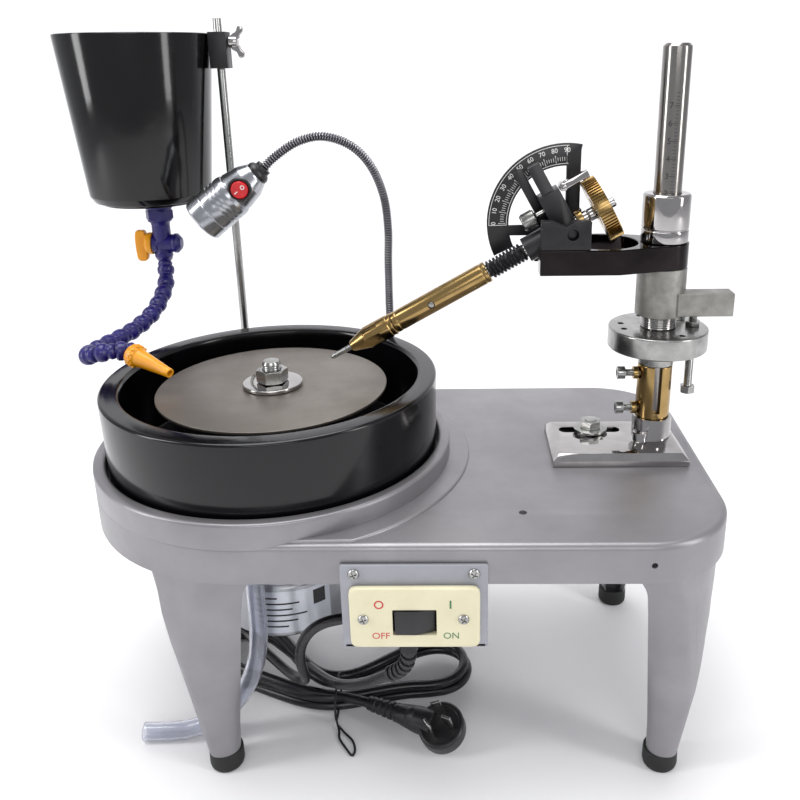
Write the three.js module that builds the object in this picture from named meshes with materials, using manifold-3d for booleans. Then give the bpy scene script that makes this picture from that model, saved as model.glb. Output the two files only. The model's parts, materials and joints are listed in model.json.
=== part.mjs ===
// A bench faceting machine: a cast table on four legs carries a motor-driven lap in a splash basin,
// a mast with an angle head that holds the stone, a drip bucket on a rod and a gooseneck lamp.
// Millimetres, +Z up.  Every position below is measured from the spindle's axis on the floor; the last
// lines move the whole machine so that its own origin is at the middle of its base.
import * as THREE from "three";
import { mergeVertices } from "three/addons/utils/BufferGeometryUtils.js";
import Module from "manifold-3d";

const wasm = await Module();
wasm.setup();

// ---------------------------------------------------------------- driving dimensions
const gap = 0.3; // between two pieces that seat on each other
const floor = 5.5; // the bench top's height in this working frame
const turnGap = 0.5; // between a turning piece and what it turns in

const table = {
  top: 185.3,
  plate: 6,
  skirtBottom: 161,
  skirtWall: 3,
  halfDepth: 117,
  right: 282.7,
  cornerRadius: 55,
  edgeRadius: 4,
};
const drum = { radius: 116.6, top: 198.7, stepRadius: 129.6, stepHeight: 1.6 };
const basin = {
  radius: 108.1,
  rimTop: 242.9,
  rimWidth: 13,
  floor: 6,
  hubRadius: 24,
  hubTop: 219,
  hubWall: 5,
};
const lap = { radius: 75, top: 234.9, thickness: 1.8, plateRadius: 66, plateThickness: 9 };
const spindle = { radius: 6, studTop: 252 };
const arborWasher = { radius: 19.5, thickness: 2.4 };
const arborNut = { acrossFlats: 18, height: 8.5 };
const motor = { radius: 48, canRadius: 46, bottom: 67, seam: 117, wall: 5, rotorRadius: 28 };
const foot = { radius: 11, height: 13, wall: 1.6 };
const leg = {
  y: 86,
  left: { x: -29.5, inner: 30.5, outer: 30.5 },
  right: { x: 250.3, inner: 23.6, outer: 29.1 },
  reachOut: 27,
  reachIn: 26,
  topWall: 5,
  footWall: 3,
};

const mast = { x: 253.6, y: 9.3, postRadius: 8.6, postTop: 445.4, chamfer: 2 };
const basePlate = { left: 184, right: 272, front: -24.6, back: 33.8, thickness: 8, bevel: 4 };
const baseSlot = { left: 192, right: 234, y: 16.5, width: 8.8 };
const slotBolt = {
  x: 213.7,
  radius: 4,
  headFlats: 13,
  headHeight: 5.5,
  washerRadius: 11.5,
  washerThickness: 1.8,
};
const socket = { radius: 13, height: 14.8 };
const brass = { radius: 11.3, top: 244.9, slot: 5 };
const flange = { radius: 32, bottom: 256.9, top: 270.7, hubRadius: 11.6 };
const clamp = { radius: 15.7, bottom: 279.4, top: 311, handleReach: 43.5, handleWidth: 13, handleHeight: 15 };
const arm = { bottom: 311.3, top: 327, halfWidth: 26.3, left: 173, shoulder: 222, eyeRadius: 15.6 };
const armOpening = { x: 214, radius: 23, slotHalfWidth: 13 };
const sleeve = { radius: 14.8, lowerRadius: 11.6, top: 357.5, bottom: 271.2 };

const pivot = { x: 192.5, z: 336.5 };
const quillAngle = 29.2; // degrees that the quill points down from level at rest
const cheek = { width: 30, thickness: 8.6, top: 344.5 };
const quadrant = { inner: 36.5, outer: 50.5, y: 23.7, thickness: 3, spoke: 9 };
const trunnionRadius = 3;
// Along the quill, measured from the pivot: minus towards the stone, plus towards the index gear.
const quill = {
  tip: -176.5,
  nose: -160.6,
  chuckBack: -128,
  tubeBack: -57.6,
  springBack: -30.3,
  housingFront: -30,
  stub: 33,
};
const quillRadius = { dop: 1.75, nose: 3.6, tube: 7, spring: 6.4, housing: 8, shaft: 4.2, stub: 3.1 };
const gear = { radius: 20.75, front: 19.5, thickness: 8.9 };
const indexBlock = { front: -8, back: 6, below: -9.5, above: 26, halfWidth: 8.8 };

const rod = { x: -49, y: 128.4, radius: 3, bottom: 168.3, top: 468 };
const bucket = {
  x: -110.8,
  y: 128,
  topRadius: 55.3,
  bottomRadius: 44.6,
  top: 458,
  bottom: 338,
  wall: 2.6,
};
const bucketClamp = { left: -55.1, right: -42.2, depth: 14, bottom: 433.5, top: 458.6 };
const valve = { x: -107.3, radius: 7, collarRadius: 11, bottom: 292, barrelZ: 304, barrelRadius: 7.6 };
const hoseRadius = 5.6;
const nozzle = { baseRadius: 7.6, tipRadius: 3.1, length: 42 };
const lampHead = { length: 59, radius: 15.5, neckRadius: 5.6 };
const gooseneckRadius = 3.3;
const lampBase = { radius: 8.4, height: 9 };

const bracket = { left: 56, right: 138, bottom: 121.5, top: 175, thickness: 2, shelf: 26 };
const cover = { left: 60.7, right: 133.5, bottom: 124, top: 163, thickness: 4, recess: 6 };
const rocker = { x: 97, z: 140.8, width: 22.6, height: 15 };
const gland = { x: 92, y: -105, radius: 6.4, height: 13 };
const cordRadius = 3.4;
const drainHoseRadius = 6;

// Routes of what is flexible, chosen by hand, from the spindle's axis on the floor.
const powerCordRoute = [
  [92, -105, 107.8], [91.6, -104.8, 102.4], [90.3, -103.8, 97.7], [88.2, -102.3, 93.4],
  [85.5, -100.4, 89.5], [81, -97.3, 84.6], [72, -91, 75], [63, -84, 66.2], [54, -75, 56.9],
  [45.5, -64, 47.1], [37, -51, 37.4], [28, -38, 30.7],
];
const motorLeadRoute = [
  [68, -89, 118], [59, -88.6, 118], [49, -87, 116], [36, -84, 110], [26, -80, 98.2], [20.5, -76, 82.9],
  [20, -70, 65.2], [20, -60, 48.5], [14, -47, 36.4], [3, -34, 31.1], [-12, -18, 30.5], [-27, -3, 31.5],
  [-41, 9, 37.4], [-53, 14, 49.4], [-60, 12, 65.2], [-62, 6, 82], [-59, 2, 95], [-52.3, 0.6, 100.6],
];
const drainHoseRoute = [
  [-8, -61, 152], [-8, -61, 130], [-8, -61, 108], [-8.4, -61, 87.6], [-11, -61.5, 67.1], [-18, -62.5, 47.6],
  [-29.5, -63.8, 31], [-44, -65.2, 19], [-60, -66.2, 13.1], [-75, -66.9, 11.8], [-90, -67.2, 11.7],
];
const gooseneckRoute = [
  [70.5, 105, 194.6], [70.5, 105, 225], [70.4, 105.4, 260], [70.6, 106, 293], [71.4, 105, 317],
  [69.2, 101, 343], [61, 95, 366], [48, 88, 381], [30, 80, 388], [13, 74, 385],
  [-2, 68.6, 375.6], [-8.6, 66.6, 369.6],
];
const hoseRoute = [
  [-107.3, 128, 291.2], [-107.3, 127.9, 286], [-105.6, 121, 277.5], [-104.4, 112, 271.5],
  [-104.8, 101, 266], [-107, 89, 259.5], [-111, 77, 255], [-116, 63, 252],
  [-121, 49, 250.8], [-125.5, 34, 250.6], [-127.5, 19, 251], [-122.5, 7, 254], [-111, 4, 257.2],
  [-98.5, 8.5, 256.6],
];
const nozzleTip = [-58.5, -15, 247];

// ---------------------------------------------------------------- materials
function material(color, roughness, metalness) {
  return new THREE.MeshStandardMaterial({ color, roughness, metalness });
}

const finish = {
  castSilver: material("#98979b", 0.45, 0.6),
  glossBlack: material("#0d0c0e", 0.12, 0),
  mattBlack: material("#1a191b", 0.6, 0),
  rubber: material("#141414", 0.8, 0),
  steel: material("#a8a8aa", 0.25, 1),
  chrome: material("#d6d6d8", 0.08, 1),
  blackChrome: material("#2a2528", 0.15, 0.9),
  zinc: material("#8f9088", 0.55, 0.8),
  brass: material("#b08a4a", 0.25, 1),
  aluminium: material("#bfc0c2", 0.3, 1),
  lap: material("#6e665c", 0.4, 0.7),
  motorDark: material("#46464a", 0.5, 0.6),
  cream: material("#d8cfa5", 0.4, 0),
  sheetGrey: material("#9b9ca2", 0.45, 0.5),
  blue: material("#1b1456", 0.35, 0),
  yellow: material("#e09a1c", 0.35, 0),
  red: material("#c01820", 0.3, 0),
  glass: material("#e8e0dc", 0.1, 0),
  clearHose: material("#dfe0ea", 0.15, 0),
};

// ---------------------------------------------------------------- solids
function solid(geometry) {
  const bare = geometry.index ? geometry.toNonIndexed() : geometry.clone();
  bare.deleteAttribute("normal");
  bare.deleteAttribute("uv");
  const merged = mergeVertices(bare, 1e-4);
  return new wasm.Manifold(
    new wasm.Mesh({
      numProp: 3,
      vertProperties: new Float32Array(merged.attributes.position.array),
      triVerts: new Uint32Array(merged.index.array),
    }),
  );
}

function geometryOf(made) {
  const mesh = made.getMesh();
  const geometry = new THREE.BufferGeometry();
  geometry.setAttribute("position", new THREE.BufferAttribute(new Float32Array(mesh.vertProperties), 3));
  geometry.setIndex(new THREE.BufferAttribute(new Uint32Array(mesh.triVerts), 1));
  geometry.computeVertexNormals();
  return geometry;
}

const join = (first, ...rest) => rest.reduce((sum, next) => sum.add(next), first);
const cut = (first, ...rest) => rest.reduce((left, next) => left.subtract(next), first);

function block(x0, x1, y0, y1, z0, z1) {
  const geometry = new THREE.BoxGeometry(x1 - x0, y1 - y0, z1 - z0);
  return solid(geometry.translate((x0 + x1) / 2, (y0 + y1) / 2, (z0 + z1) / 2));
}

// A cylinder or cone along Z from z0 to z1.
function post(x, y, z0, z1, radius, sides = 20, topRadius = radius) {
  const geometry = new THREE.CylinderGeometry(topRadius, radius, z1 - z0, sides);
  return solid(geometry.rotateX(Math.PI / 2).translate(x, y, (z0 + z1) / 2));
}

// The same along X or Y.
function barX(x0, x1, y, z, radius, sides = 16, farRadius = radius) {
  const geometry = new THREE.CylinderGeometry(farRadius, radius, x1 - x0, sides);
  return solid(geometry.rotateZ(-Math.PI / 2).translate((x0 + x1) / 2, y, z));
}

function barY(x, y0, y1, z, radius, sides = 12) {
  const geometry = new THREE.CylinderGeometry(radius, radius, y1 - y0, sides);
  return solid(geometry.translate(x, (y0 + y1) / 2, z));
}

// A hexagon along Z, sized across its flats.
function hexagon(x, y, z0, z1, acrossFlats) {
  return post(x, y, z0, z1, acrossFlats / Math.sqrt(3), 6);
}

// A profile of [radius, z] points turned about the vertical line through x, y.
function turned(profile, x = 0, y = 0, sides = 36) {
  const points = profile.map(([radius, z]) => new THREE.Vector2(radius, z));
  const geometry = new THREE.LatheGeometry(points, sides);
  return solid(geometry.rotateX(Math.PI / 2).translate(x, y, 0));
}

// A flat outline in X, Y raised from z0 to z1.
function raised(shape, z0, z1, curveSegments = 9) {
  const geometry = new THREE.ExtrudeGeometry(shape, { depth: z1 - z0, bevelEnabled: false, curveSegments });
  return solid(geometry.translate(0, 0, z0));
}

// A flat outline in X, Z given thickness from y0 to y1.
function upright(shape, y0, y1, curveSegments = 9) {
  const geometry = new THREE.ExtrudeGeometry(shape, { depth: y1 - y0, bevelEnabled: false, curveSegments });
  return solid(geometry.rotateX(Math.PI / 2).translate(0, y1, 0));
}

const outline = (points) => new THREE.Shape(points.map(([x, y]) => new THREE.Vector2(x, y)));
const circleShape = (radius, sides = 10) =>
  outline(
    Array.from({ length: sides }, (_, i) => {
      const turn = (2 * Math.PI * i) / sides;
      return [radius * Math.cos(turn), radius * Math.sin(turn)];
    }),
  );

// A plain round tube through a list of points.
function tubeThrough(route, radius, steps, sides = 10) {
  const extrudePath = new THREE.CatmullRomCurve3(route.map((point) => new THREE.Vector3(...point)));
  const section = circleShape(radius, sides);
  return solid(new THREE.ExtrudeGeometry(section, { steps, extrudePath, bevelEnabled: false }));
}

// A solid between two outlines of the same number of points, at two heights. Each outline runs along
// one side of a strip and back along the other, so its ends are closed across the strip.
function between(lower, z0, upper, z1) {
  const count = lower.length;
  const positions = [];
  for (const [points, z] of [[lower, z0], [upper, z1]]) for (const [x, y] of points) positions.push(x, y, z);
  const index = [];
  for (let i = 0; i < count; i++) {
    const next = (i + 1) % count;
    index.push(i, next, count + next, i, count + next, count + i);
  }
  for (let i = 0; i < count / 2 - 1; i++) {
    const across = count - 1 - i;
    index.push(i, across - 1, i + 1, i, across, across - 1);
    index.push(count + i, count + i + 1, count + across - 1, count + i, count + across - 1, count + across);
  }
  const geometry = new THREE.BufferGeometry();
  geometry.setAttribute("position", new THREE.Float32BufferAttribute(positions, 3));
  geometry.setIndex(index);
  return solid(geometry);
}

const root = new THREE.Group();
const machine = new THREE.Group();
root.add(machine);

function place(name, made, look, parent = machine) {
  const mesh = new THREE.Mesh(geometryOf(made), look);
  mesh.name = name;
  parent.add(mesh);
  return mesh;
}

// ---------------------------------------------------------------- table, legs, feet
// The table's outline, taken in by inset: a round drum on the left, a plate with rounded corners
// on the right.
function tableShape(inset) {
  const radius = drum.radius - inset;
  const half = table.halfDepth - inset;
  const right = table.right - inset;
  const corner = table.cornerRadius - inset;
  const meet = Math.asin(Math.min(1, half / (radius + 0.8)));
  const shape = new THREE.Shape();
  shape.absarc(0, 0, radius, meet, 2 * Math.PI - meet, false);
  shape.lineTo(right - corner, -half);
  shape.absarc(right - corner, -half + corner, corner, -Math.PI / 2, 0, false);
  shape.absarc(right - corner, half - corner, corner, 0, Math.PI / 2, false);
  shape.closePath();
  return shape;
}

const basinSeat = basin.radius + 0.8;
const spoutPlace = drainHoseRoute[0];
const spoutRadius = 4.2;

function tableCasting() {
  const [lampX, lampY] = gooseneckRoute[0];
  const edge = table.edgeRadius;
  const bevelled = new THREE.ExtrudeGeometry(tableShape(edge), {
    depth: table.top - table.skirtBottom,
    bevelThickness: edge,
    bevelSize: edge,
    bevelSegments: 2,
    curveSegments: 10,
  });
  const raisedBody = solid(bevelled.translate(0, 0, table.skirtBottom - edge));
  const ring = turned([[basinSeat, table.top - 1], [drum.radius, table.top - 5], [drum.radius, drum.top - 2],
    [drum.radius - 2, drum.top], [basinSeat, drum.top], [basinSeat, table.top - 1]]);
  const step = post(0, 0, table.top - 1, table.top + drum.stepHeight, drum.stepRadius, 36);
  const onPlate = block(0, table.right - table.cornerRadius, -table.halfDepth + edge, table.halfDepth - edge,
    table.top - 1, table.top + 9);
  return cut(
    join(raisedBody, ring, step.intersect(onPlate)),
    block(-200, 400, -200, 200, table.skirtBottom - 20, table.skirtBottom),
    raised(tableShape(table.skirtWall), table.skirtBottom - 1, table.top - table.plate),
    post(0, 0, table.top, drum.top + 1, basinSeat, 36),
    post(0, 0, 150, 200, motor.radius / 2),
    post(lampX, lampY, table.top, drum.top, lampBase.radius + gap),
    post(spoutPlace[0], spoutPlace[1], 150, 200, spoutRadius + 2, 16),
    post(slotBolt.x, baseSlot.y, 150, 200, slotBolt.radius + gap, 16),
    post(159.8, -81.1, 150, 200, 2.4, 12),
    barY(229.7, -130, -100, 172.5, 1.8, 12),
  );
}
place("table_casting", tableCasting(), finish.castSilver);

// One leg: a sheet that is an open ring round the foot and an angle under the skirt. Both ends are
// drawn from the leg's inner end, round its outer corner, to its other end, and back inside.
const legSteps = 13;
const cornerStep = 8;

function ringSection(radius) {
  return Array.from({ length: legSteps }, (_, k) => {
    const turn = THREE.MathUtils.degToRad(45 - (270 * k) / (legSteps - 1));
    return [radius * Math.cos(turn), radius * Math.sin(turn)];
  });
}

function angleSection({ inner, outer }, inset) {
  const corner = 8;
  const u = inset - outer;
  const v = inset - leg.reachOut;
  const points = [];
  for (let k = 0; k < cornerStep; k++) {
    const share = k / (cornerStep - 1);
    points.push([inner + (corner - outer - inner) * share, v]);
  }
  points.push([Math.max(u, -outer + 2.3), Math.max(v, -leg.reachOut + 2.3)]);
  for (let k = cornerStep + 1; k < legSteps; k++) {
    const share = (k - cornerStep - 1) / (legSteps - cornerStep - 2);
    points.push([u, corner - leg.reachOut + (leg.reachIn + leg.reachOut - corner) * share]);
  }
  return points;
}

function tableLeg(hand, side, inward) {
  const set = ([u, v]) => [hand.x + inward * u, side * (leg.y - v)];
  const strip = (out, back) => {
    const points = [...out, ...back.reverse()].map(set);
    const area = THREE.ShapeUtils.area(points.map(([x, y]) => new THREE.Vector2(x, y)));
    return area < 0 ? points.reverse() : points;
  };
  const radius = foot.radius - foot.wall - gap;
  const low = floor + foot.wall + gap;
  const upperZ = table.top - table.plate - gap;
  const lower = strip(ringSection(radius), ringSection(radius - leg.footWall));
  const upper = strip(angleSection(hand, 0), angleSection(hand, leg.topWall));
  const plug = post(hand.x, side * leg.y, low, low + 4, radius, 24);
  const inside = raised(tableShape(table.skirtWall + gap), 0, upperZ);
  return join(between(lower, low, upper, upperZ).intersect(inside), plug);
}

function rubberFoot(x, y) {
  const inner = foot.radius - foot.wall;
  const rim = floor + foot.height;
  return turned([[0, floor], [foot.radius - 1.5, floor], [foot.radius, floor + 2], [foot.radius - 0.4, rim],
    [inner, rim], [inner, floor + foot.wall], [0, floor + foot.wall]], x, y, 24);
}

for (const [front, side] of [["front", -1], ["back", 1]]) {
  for (const [name, inward] of [["left", 1], ["right", -1]]) {
    const hand = leg[name];
    const rim = floor + foot.height + gap;
    const around = post(hand.x, side * leg.y, 0, rim, 40, 24);
    const within = post(hand.x, side * leg.y, 0, rim, foot.radius - foot.wall - gap, 24);
    const made = cut(tableLeg(hand, side, inward), cut(around, within));
    place(`leg_${front}_${name}`, made, finish.castSilver);
    place(`foot_${front}_${name}`, rubberFoot(hand.x, side * leg.y), finish.rubber);
  }
}

// ---------------------------------------------------------------- basin, motor and lap
function splashBasin() {
  const bottom = table.top + gap;
  const inner = basin.radius - basin.rimWidth;
  const hubInner = basin.hubRadius - basin.hubWall;
  const shell = turned([
    [hubInner, bottom], [basin.radius, bottom], [basin.radius, basin.rimTop - 1.5],
    [basin.radius - 1.5, basin.rimTop], [inner + 1.5, basin.rimTop], [inner, basin.rimTop - 1.5],
    [inner, bottom + basin.floor], [basin.hubRadius, bottom + basin.floor], [basin.hubRadius, basin.hubTop],
    [hubInner, basin.hubTop], [hubInner, bottom],
  ]);
  const [x, y, z] = spoutPlace;
  const spout = post(x, y, z + gap, bottom + 2, spoutRadius, 16);
  return cut(join(shell, spout), post(x, y, z - 1, bottom + basin.floor + 1, spoutRadius - 1.5, 12));
}
place("splash_basin", splashBasin(), finish.glossBlack);

const motorTop = table.top - table.plate - gap;
const shaftGap = spindle.radius + turnGap;

function motorEndBell() {
  const inner = motor.radius - motor.wall;
  const bell = turned([
    [shaftGap, motorTop], [shaftGap, motorTop - 8], [inner, motorTop - 8], [inner, motor.seam + gap],
    [motor.radius, motor.seam + gap], [motor.radius, motorTop - 3], [motor.radius - 3, motorTop],
    [shaftGap, motorTop],
  ], 0, 0);
  const ribs = [];
  for (let i = 0; i < 10; i++) {
    const turn = (Math.PI * 2 * i) / 10;
    const fin = block(motor.radius - 2, motor.radius + 2, -1.5, 1.5, motor.seam + 6, motorTop - 6);
    ribs.push(solid(geometryOf(fin).rotateZ(turn)));
  }
  return join(bell, ...ribs);
}
place("motor_end_bell", motorEndBell(), finish.motorDark);

function motorCan() {
  const inner = motor.canRadius - 3;
  return turned([
    [0, motor.bottom], [motor.canRadius - 4, motor.bottom], [motor.canRadius, motor.bottom + 4],
    [motor.canRadius, motor.seam], [inner, motor.seam], [inner, motor.bottom + 4], [0, motor.bottom + 4],
  ], 0, 0);
}
place("motor_can", motorCan(), finish.aluminium);

const plateTop = lap.top - lap.thickness - gap;
const plateBottom = plateTop - lap.plateThickness;

function spindleShaft() {
  const rotor = post(0, 0, motor.bottom + 9, motorTop - 14, motor.rotorRadius);
  const shaft = post(0, 0, motor.bottom + 6, spindle.studTop, spindle.radius, 24);
  const shoulder = post(0, 0, plateBottom - 12, plateBottom - gap, spindle.radius + 4, 24);
  return join(rotor, shaft, shoulder);
}
place("spindle_shaft", spindleShaft(), finish.steel);

const onSpindle = (radius, z0, z1, sides = 36) =>
  cut(post(0, 0, z0, z1, radius, sides), post(0, 0, z0 - 1, z1 + 1, spindle.radius + gap, 24));
place("master_plate", onSpindle(lap.plateRadius, plateBottom, plateTop), finish.aluminium);
place("lap_disc", onSpindle(lap.radius, lap.top - lap.thickness, lap.top), finish.lap);
const washerBottom = lap.top + gap;
const washerTop = washerBottom + arborWasher.thickness;
const nutBottom = washerTop + gap;
place("arbor_washer", onSpindle(arborWasher.radius, washerBottom, washerTop, 28), finish.chrome);
place("arbor_nut", cut(hexagon(0, 0, nutBottom, nutBottom + arborNut.height, arborNut.acrossFlats),
  post(0, 0, nutBottom - 1, nutBottom + 20, spindle.radius + gap, 24)), finish.chrome);

// ---------------------------------------------------------------- switch box and leads
const skirtFace = -table.halfDepth;

function switchBracket() {
  const front = skirtFace - gap - bracket.thickness;
  const plate = block(bracket.left, bracket.right, front, skirtFace - gap, bracket.bottom, bracket.top);
  const shelf = block(bracket.left, bracket.right, front, front + bracket.shelf, bracket.bottom,
    bracket.bottom + bracket.thickness);
  return cut(
    join(plate, shelf),
    block(rocker.x - rocker.width / 2 - 2.5, rocker.x + rocker.width / 2 + 2.5, front - 1, skirtFace + 1,
      rocker.z - rocker.height / 2 - 2.5, rocker.z + rocker.height / 2 + 2.5),
    post(gland.x, gland.y, bracket.bottom - 1, bracket.bottom + 5, gland.radius - 2 + gap, 20),
  );
}
place("switch_bracket", switchBracket(), finish.sheetGrey);

const coverBack = skirtFace - bracket.thickness - 2 * gap;
const coverFace = coverBack - cover.thickness;

function switchCover() {
  const corner = 4;
  const shape = new THREE.Shape();
  shape.absarc(cover.right - corner, cover.top - corner, corner, 0, Math.PI / 2, false);
  shape.absarc(cover.left + corner, cover.top - corner, corner, Math.PI / 2, Math.PI, false);
  shape.absarc(cover.left + corner, cover.bottom + corner, corner, Math.PI, 1.5 * Math.PI, false);
  shape.absarc(cover.right - corner, cover.bottom + corner, corner, 1.5 * Math.PI, 2 * Math.PI, false);
  shape.closePath();
  const plate = upright(shape, coverFace, coverBack, 5);
  const halfWidth = rocker.width / 2 + 1;
  const halfHeight = rocker.height / 2 + 0.8;
  const pocketBack = coverBack + cover.recess;
  const box = block(rocker.x - halfWidth - 1, rocker.x + halfWidth + 1, coverBack - 1, pocketBack,
    rocker.z - halfHeight - 1, rocker.z + halfHeight + 1);
  const pocket = block(rocker.x - halfWidth, rocker.x + halfWidth, coverFace - 1, pocketBack - 1,
    rocker.z - halfHeight, rocker.z + halfHeight);
  return cut(join(plate, box), pocket);
}
place("switch_cover", switchCover(), finish.cream);

// The rocker is a ridged key on an upright axle, at rest with its left end pressed in.
const rockerTilt = 8;
const rockerGroup = new THREE.Group();
rockerGroup.position.set(rocker.x, coverFace + 2.2, rocker.z);
rockerGroup.rotation.z = THREE.MathUtils.degToRad(rockerTilt);
machine.add(rockerGroup);
const half = rocker.width / 2;
const rockerOutline = outline([
  [-half, 0.6], [-half, -1.4], [0, -3.6], [half, -1.4], [half, 0.6], [3, 4.6], [-3, 4.6],
]);
const rockerKey = raised(rockerOutline, -rocker.height / 2, rocker.height / 2);
place("power_rocker", rockerKey, finish.mattBlack, rockerGroup);

function cordGland() {
  const under = bracket.bottom - gap;
  return join(
    post(gland.x, gland.y, under - 4, under, gland.radius, 24),
    post(gland.x, gland.y, under - gland.height, under - 4, cordRadius + 0.8, 24, gland.radius - 1),
    post(gland.x, gland.y, under - 4, under + 6, gland.radius - 2, 20),
  );
}
place("cord_gland", cordGland(), finish.mattBlack);
place("power_cord", tubeThrough(powerCordRoute, cordRadius, 22, 8), finish.rubber);
place("motor_lead", tubeThrough(motorLeadRoute, cordRadius, 24, 8), finish.rubber);
place("drain_hose", tubeThrough(drainHoseRoute, drainHoseRadius, 16, 8), finish.clearHose);

// The folded lead, tied at its waist: a bow with a wide lobe at the left and a narrow one at the right.
const hank = { bottom: floor + 0.1, top: floor + 20.6 };
const hankEdge = [
  [-68, 20], [-62, 34], [-48, 41], [-33, 40], [-19, 30.5], [-3, 10], [10, -7], [22, -18], [38, -22],
  [55, -13.5], [72, 0.5], [88, 12], [105, 17], [121, 13], [131.5, 0], [131, -17], [120.5, -31],
  [104, -35.5], [88, -36.5], [71, -40], [57, -43], [55.5, -55], [36, -57], [16, -51], [-1, -43],
  [-16, -35], [-33, -24], [-49, -15], [-62, -5], [-68, 7],
];

function hankOutline() {
  const edge = new THREE.CatmullRomCurve3(hankEdge.map(([x, y]) => new THREE.Vector3(x, y, 0)), true);
  return outline(edge.getPoints(60).slice(0, -1).map(({ x, y }) => [x, y]));
}

// The plug lies on its back: its lead comes in at the side, its three flat pins stand up from the face.
const plug = {
  x: 109,
  y: -74,
  z: floor + 18.6,
  radius: 15.5,
  thickness: 12,
  neck: 56,
  neckRadius: 4.7,
  pin: 17,
};
const plugPins = new THREE.Vector3(-0.19, -0.42, 0.89).normalize();
const plugWay = new THREE.Vector3(0.91, -0.41, 0);
plugWay.addScaledVector(plugPins, -plugWay.dot(plugPins)).normalize();
const plugGroup = new THREE.Group();
plugGroup.setRotationFromMatrix(
  new THREE.Matrix4().makeBasis(plugWay, new THREE.Vector3().crossVectors(plugPins, plugWay), plugPins),
);
plugGroup.position.set(plug.x, plug.y, plug.z);
machine.add(plugGroup);
plugGroup.updateMatrixWorld(true);

const plugNeck = (spare) => {
  const middle = -plug.thickness / 2;
  return join(
    barX(-plug.neck - spare, -26, 0, middle, plug.neckRadius + spare, 14, 6.4 + spare),
    barX(-27, -6, 0, middle, 6.4 + spare, 14, 8.6 + spare),
  );
};
const plugNeckRoom = solid(geometryOf(plugNeck(2 * gap)).applyMatrix4(plugGroup.matrixWorld));
const hankSolid = cut(raised(hankOutline(), hank.bottom, hank.top), plugNeckRoom);
place("cord_hank", hankSolid.decompose().sort((a, b) => b.volume() - a.volume())[0], finish.rubber);

function plugBody() {
  const { radius, thickness, pin: pinLength } = plug;
  const disc = turned([[0, -thickness], [radius - 2, -thickness], [radius, 1.5 - thickness], [radius, -1],
    [radius - 1, 0], [0, 0]], 0, 0, 28);
  const pin = (x, y, turn) => {
    const blade = new THREE.BoxGeometry(6.3, 1.6, pinLength + 2).rotateZ(turn);
    return solid(blade.translate(x, y, pinLength / 2 - 1));
  };
  return join(disc, plugNeck(0), pin(-3, 6.8, Math.PI / 6), pin(-3, -6.8, -Math.PI / 6), pin(7.4, 0, 0));
}
place("plug_body", plugBody(), finish.rubber, plugGroup);

// ---------------------------------------------------------------- rod, bucket, valve, hose
place("bucket_rod", join(
  post(rod.x, rod.y, rod.bottom, rod.top - 1, rod.radius, 16),
  post(rod.x, rod.y, rod.top - 1, rod.top, rod.radius, 16, rod.radius - 1),
), finish.steel);

function rodBracket() {
  const back = Math.sqrt(drum.radius ** 2 - rod.x ** 2);
  const pad = block(rod.x - 11, rod.x + 11, back - 12, rod.y + 9, table.skirtBottom + 3, drum.top - 14);
  const clearOfTable = raised(tableShape(-2 * gap), table.skirtBottom - 1, drum.top + 2, 36);
  return cut(pad, clearOfTable, post(rod.x, rod.y, table.skirtBottom + 7, drum.top, rod.radius + gap));
}
place("rod_bracket", rodBracket(), finish.castSilver);

function bucketShell() {
  const wall = bucket.wall;
  const shell = turned([
    [0, bucket.bottom], [bucket.bottomRadius - 5, bucket.bottom],
    [bucket.bottomRadius - 1, bucket.bottom + 2], [bucket.bottomRadius, bucket.bottom + 5],
    [bucket.topRadius, bucket.top], [bucket.topRadius - wall, bucket.top],
    [bucket.bottomRadius - wall, bucket.bottom + 6], [bucket.bottomRadius - wall - 4, bucket.bottom + 3],
    [0, bucket.bottom + 3],
  ], bucket.x, bucket.y, 36);
  const outlet = post(valve.x, bucket.y, bucket.bottom - 1, bucket.bottom + 10, valve.radius - 3 + gap, 16);
  return cut(shell, outlet);
}
place("bucket", bucketShell(), finish.glossBlack);

function bucketClampBlock() {
  const made = block(bucketClamp.left, bucketClamp.right, rod.y - bucketClamp.depth / 2,
    rod.y + bucketClamp.depth / 2, bucketClamp.bottom, bucketClamp.top);
  return cut(
    made,
    post(rod.x, rod.y, 400, 500, rod.radius + gap, 20),
    post(bucket.x, bucket.y, 400, 500, bucket.topRadius + gap, 36),
    barX(rod.x, rod.x + 30, rod.y, bucketClamp.top - 7, 2 + turnGap, 16),
  );
}
place("bucket_clamp", bucketClampBlock(), finish.mattBlack);

function wingScrew() {
  const z = bucketClamp.top - 7;
  const tip = rod.x + rod.radius + gap;
  const hub = bucketClamp.right + gap;
  const wings = block(hub + 2, hub + 5, rod.y - 3, rod.y + 3, z - 11, z + 11);
  return join(barX(tip, hub + 1, rod.y, z, 2, 16), barX(hub, hub + 7, rod.y, z, 4.2, 16), wings);
}
place("wing_screw", wingScrew(), finish.chrome);

function valveBody() {
  const top = bucket.bottom - gap;
  return join(
    post(valve.x, bucket.y, valve.bottom, top, valve.radius, 24),
    post(valve.x, bucket.y, top - 5, top, valve.collarRadius, 24),
    post(valve.x, bucket.y, top - 1, top + 4, valve.radius - 3, 16),
    barX(valve.x - 7, valve.x + 11, bucket.y, valve.barrelZ, valve.barrelRadius, 24),
    barX(valve.x + 10, valve.x + 15, bucket.y, valve.barrelZ, valve.barrelRadius, 24, 4),
  );
}
place("valve_body", valveBody(), finish.blue);

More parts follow.
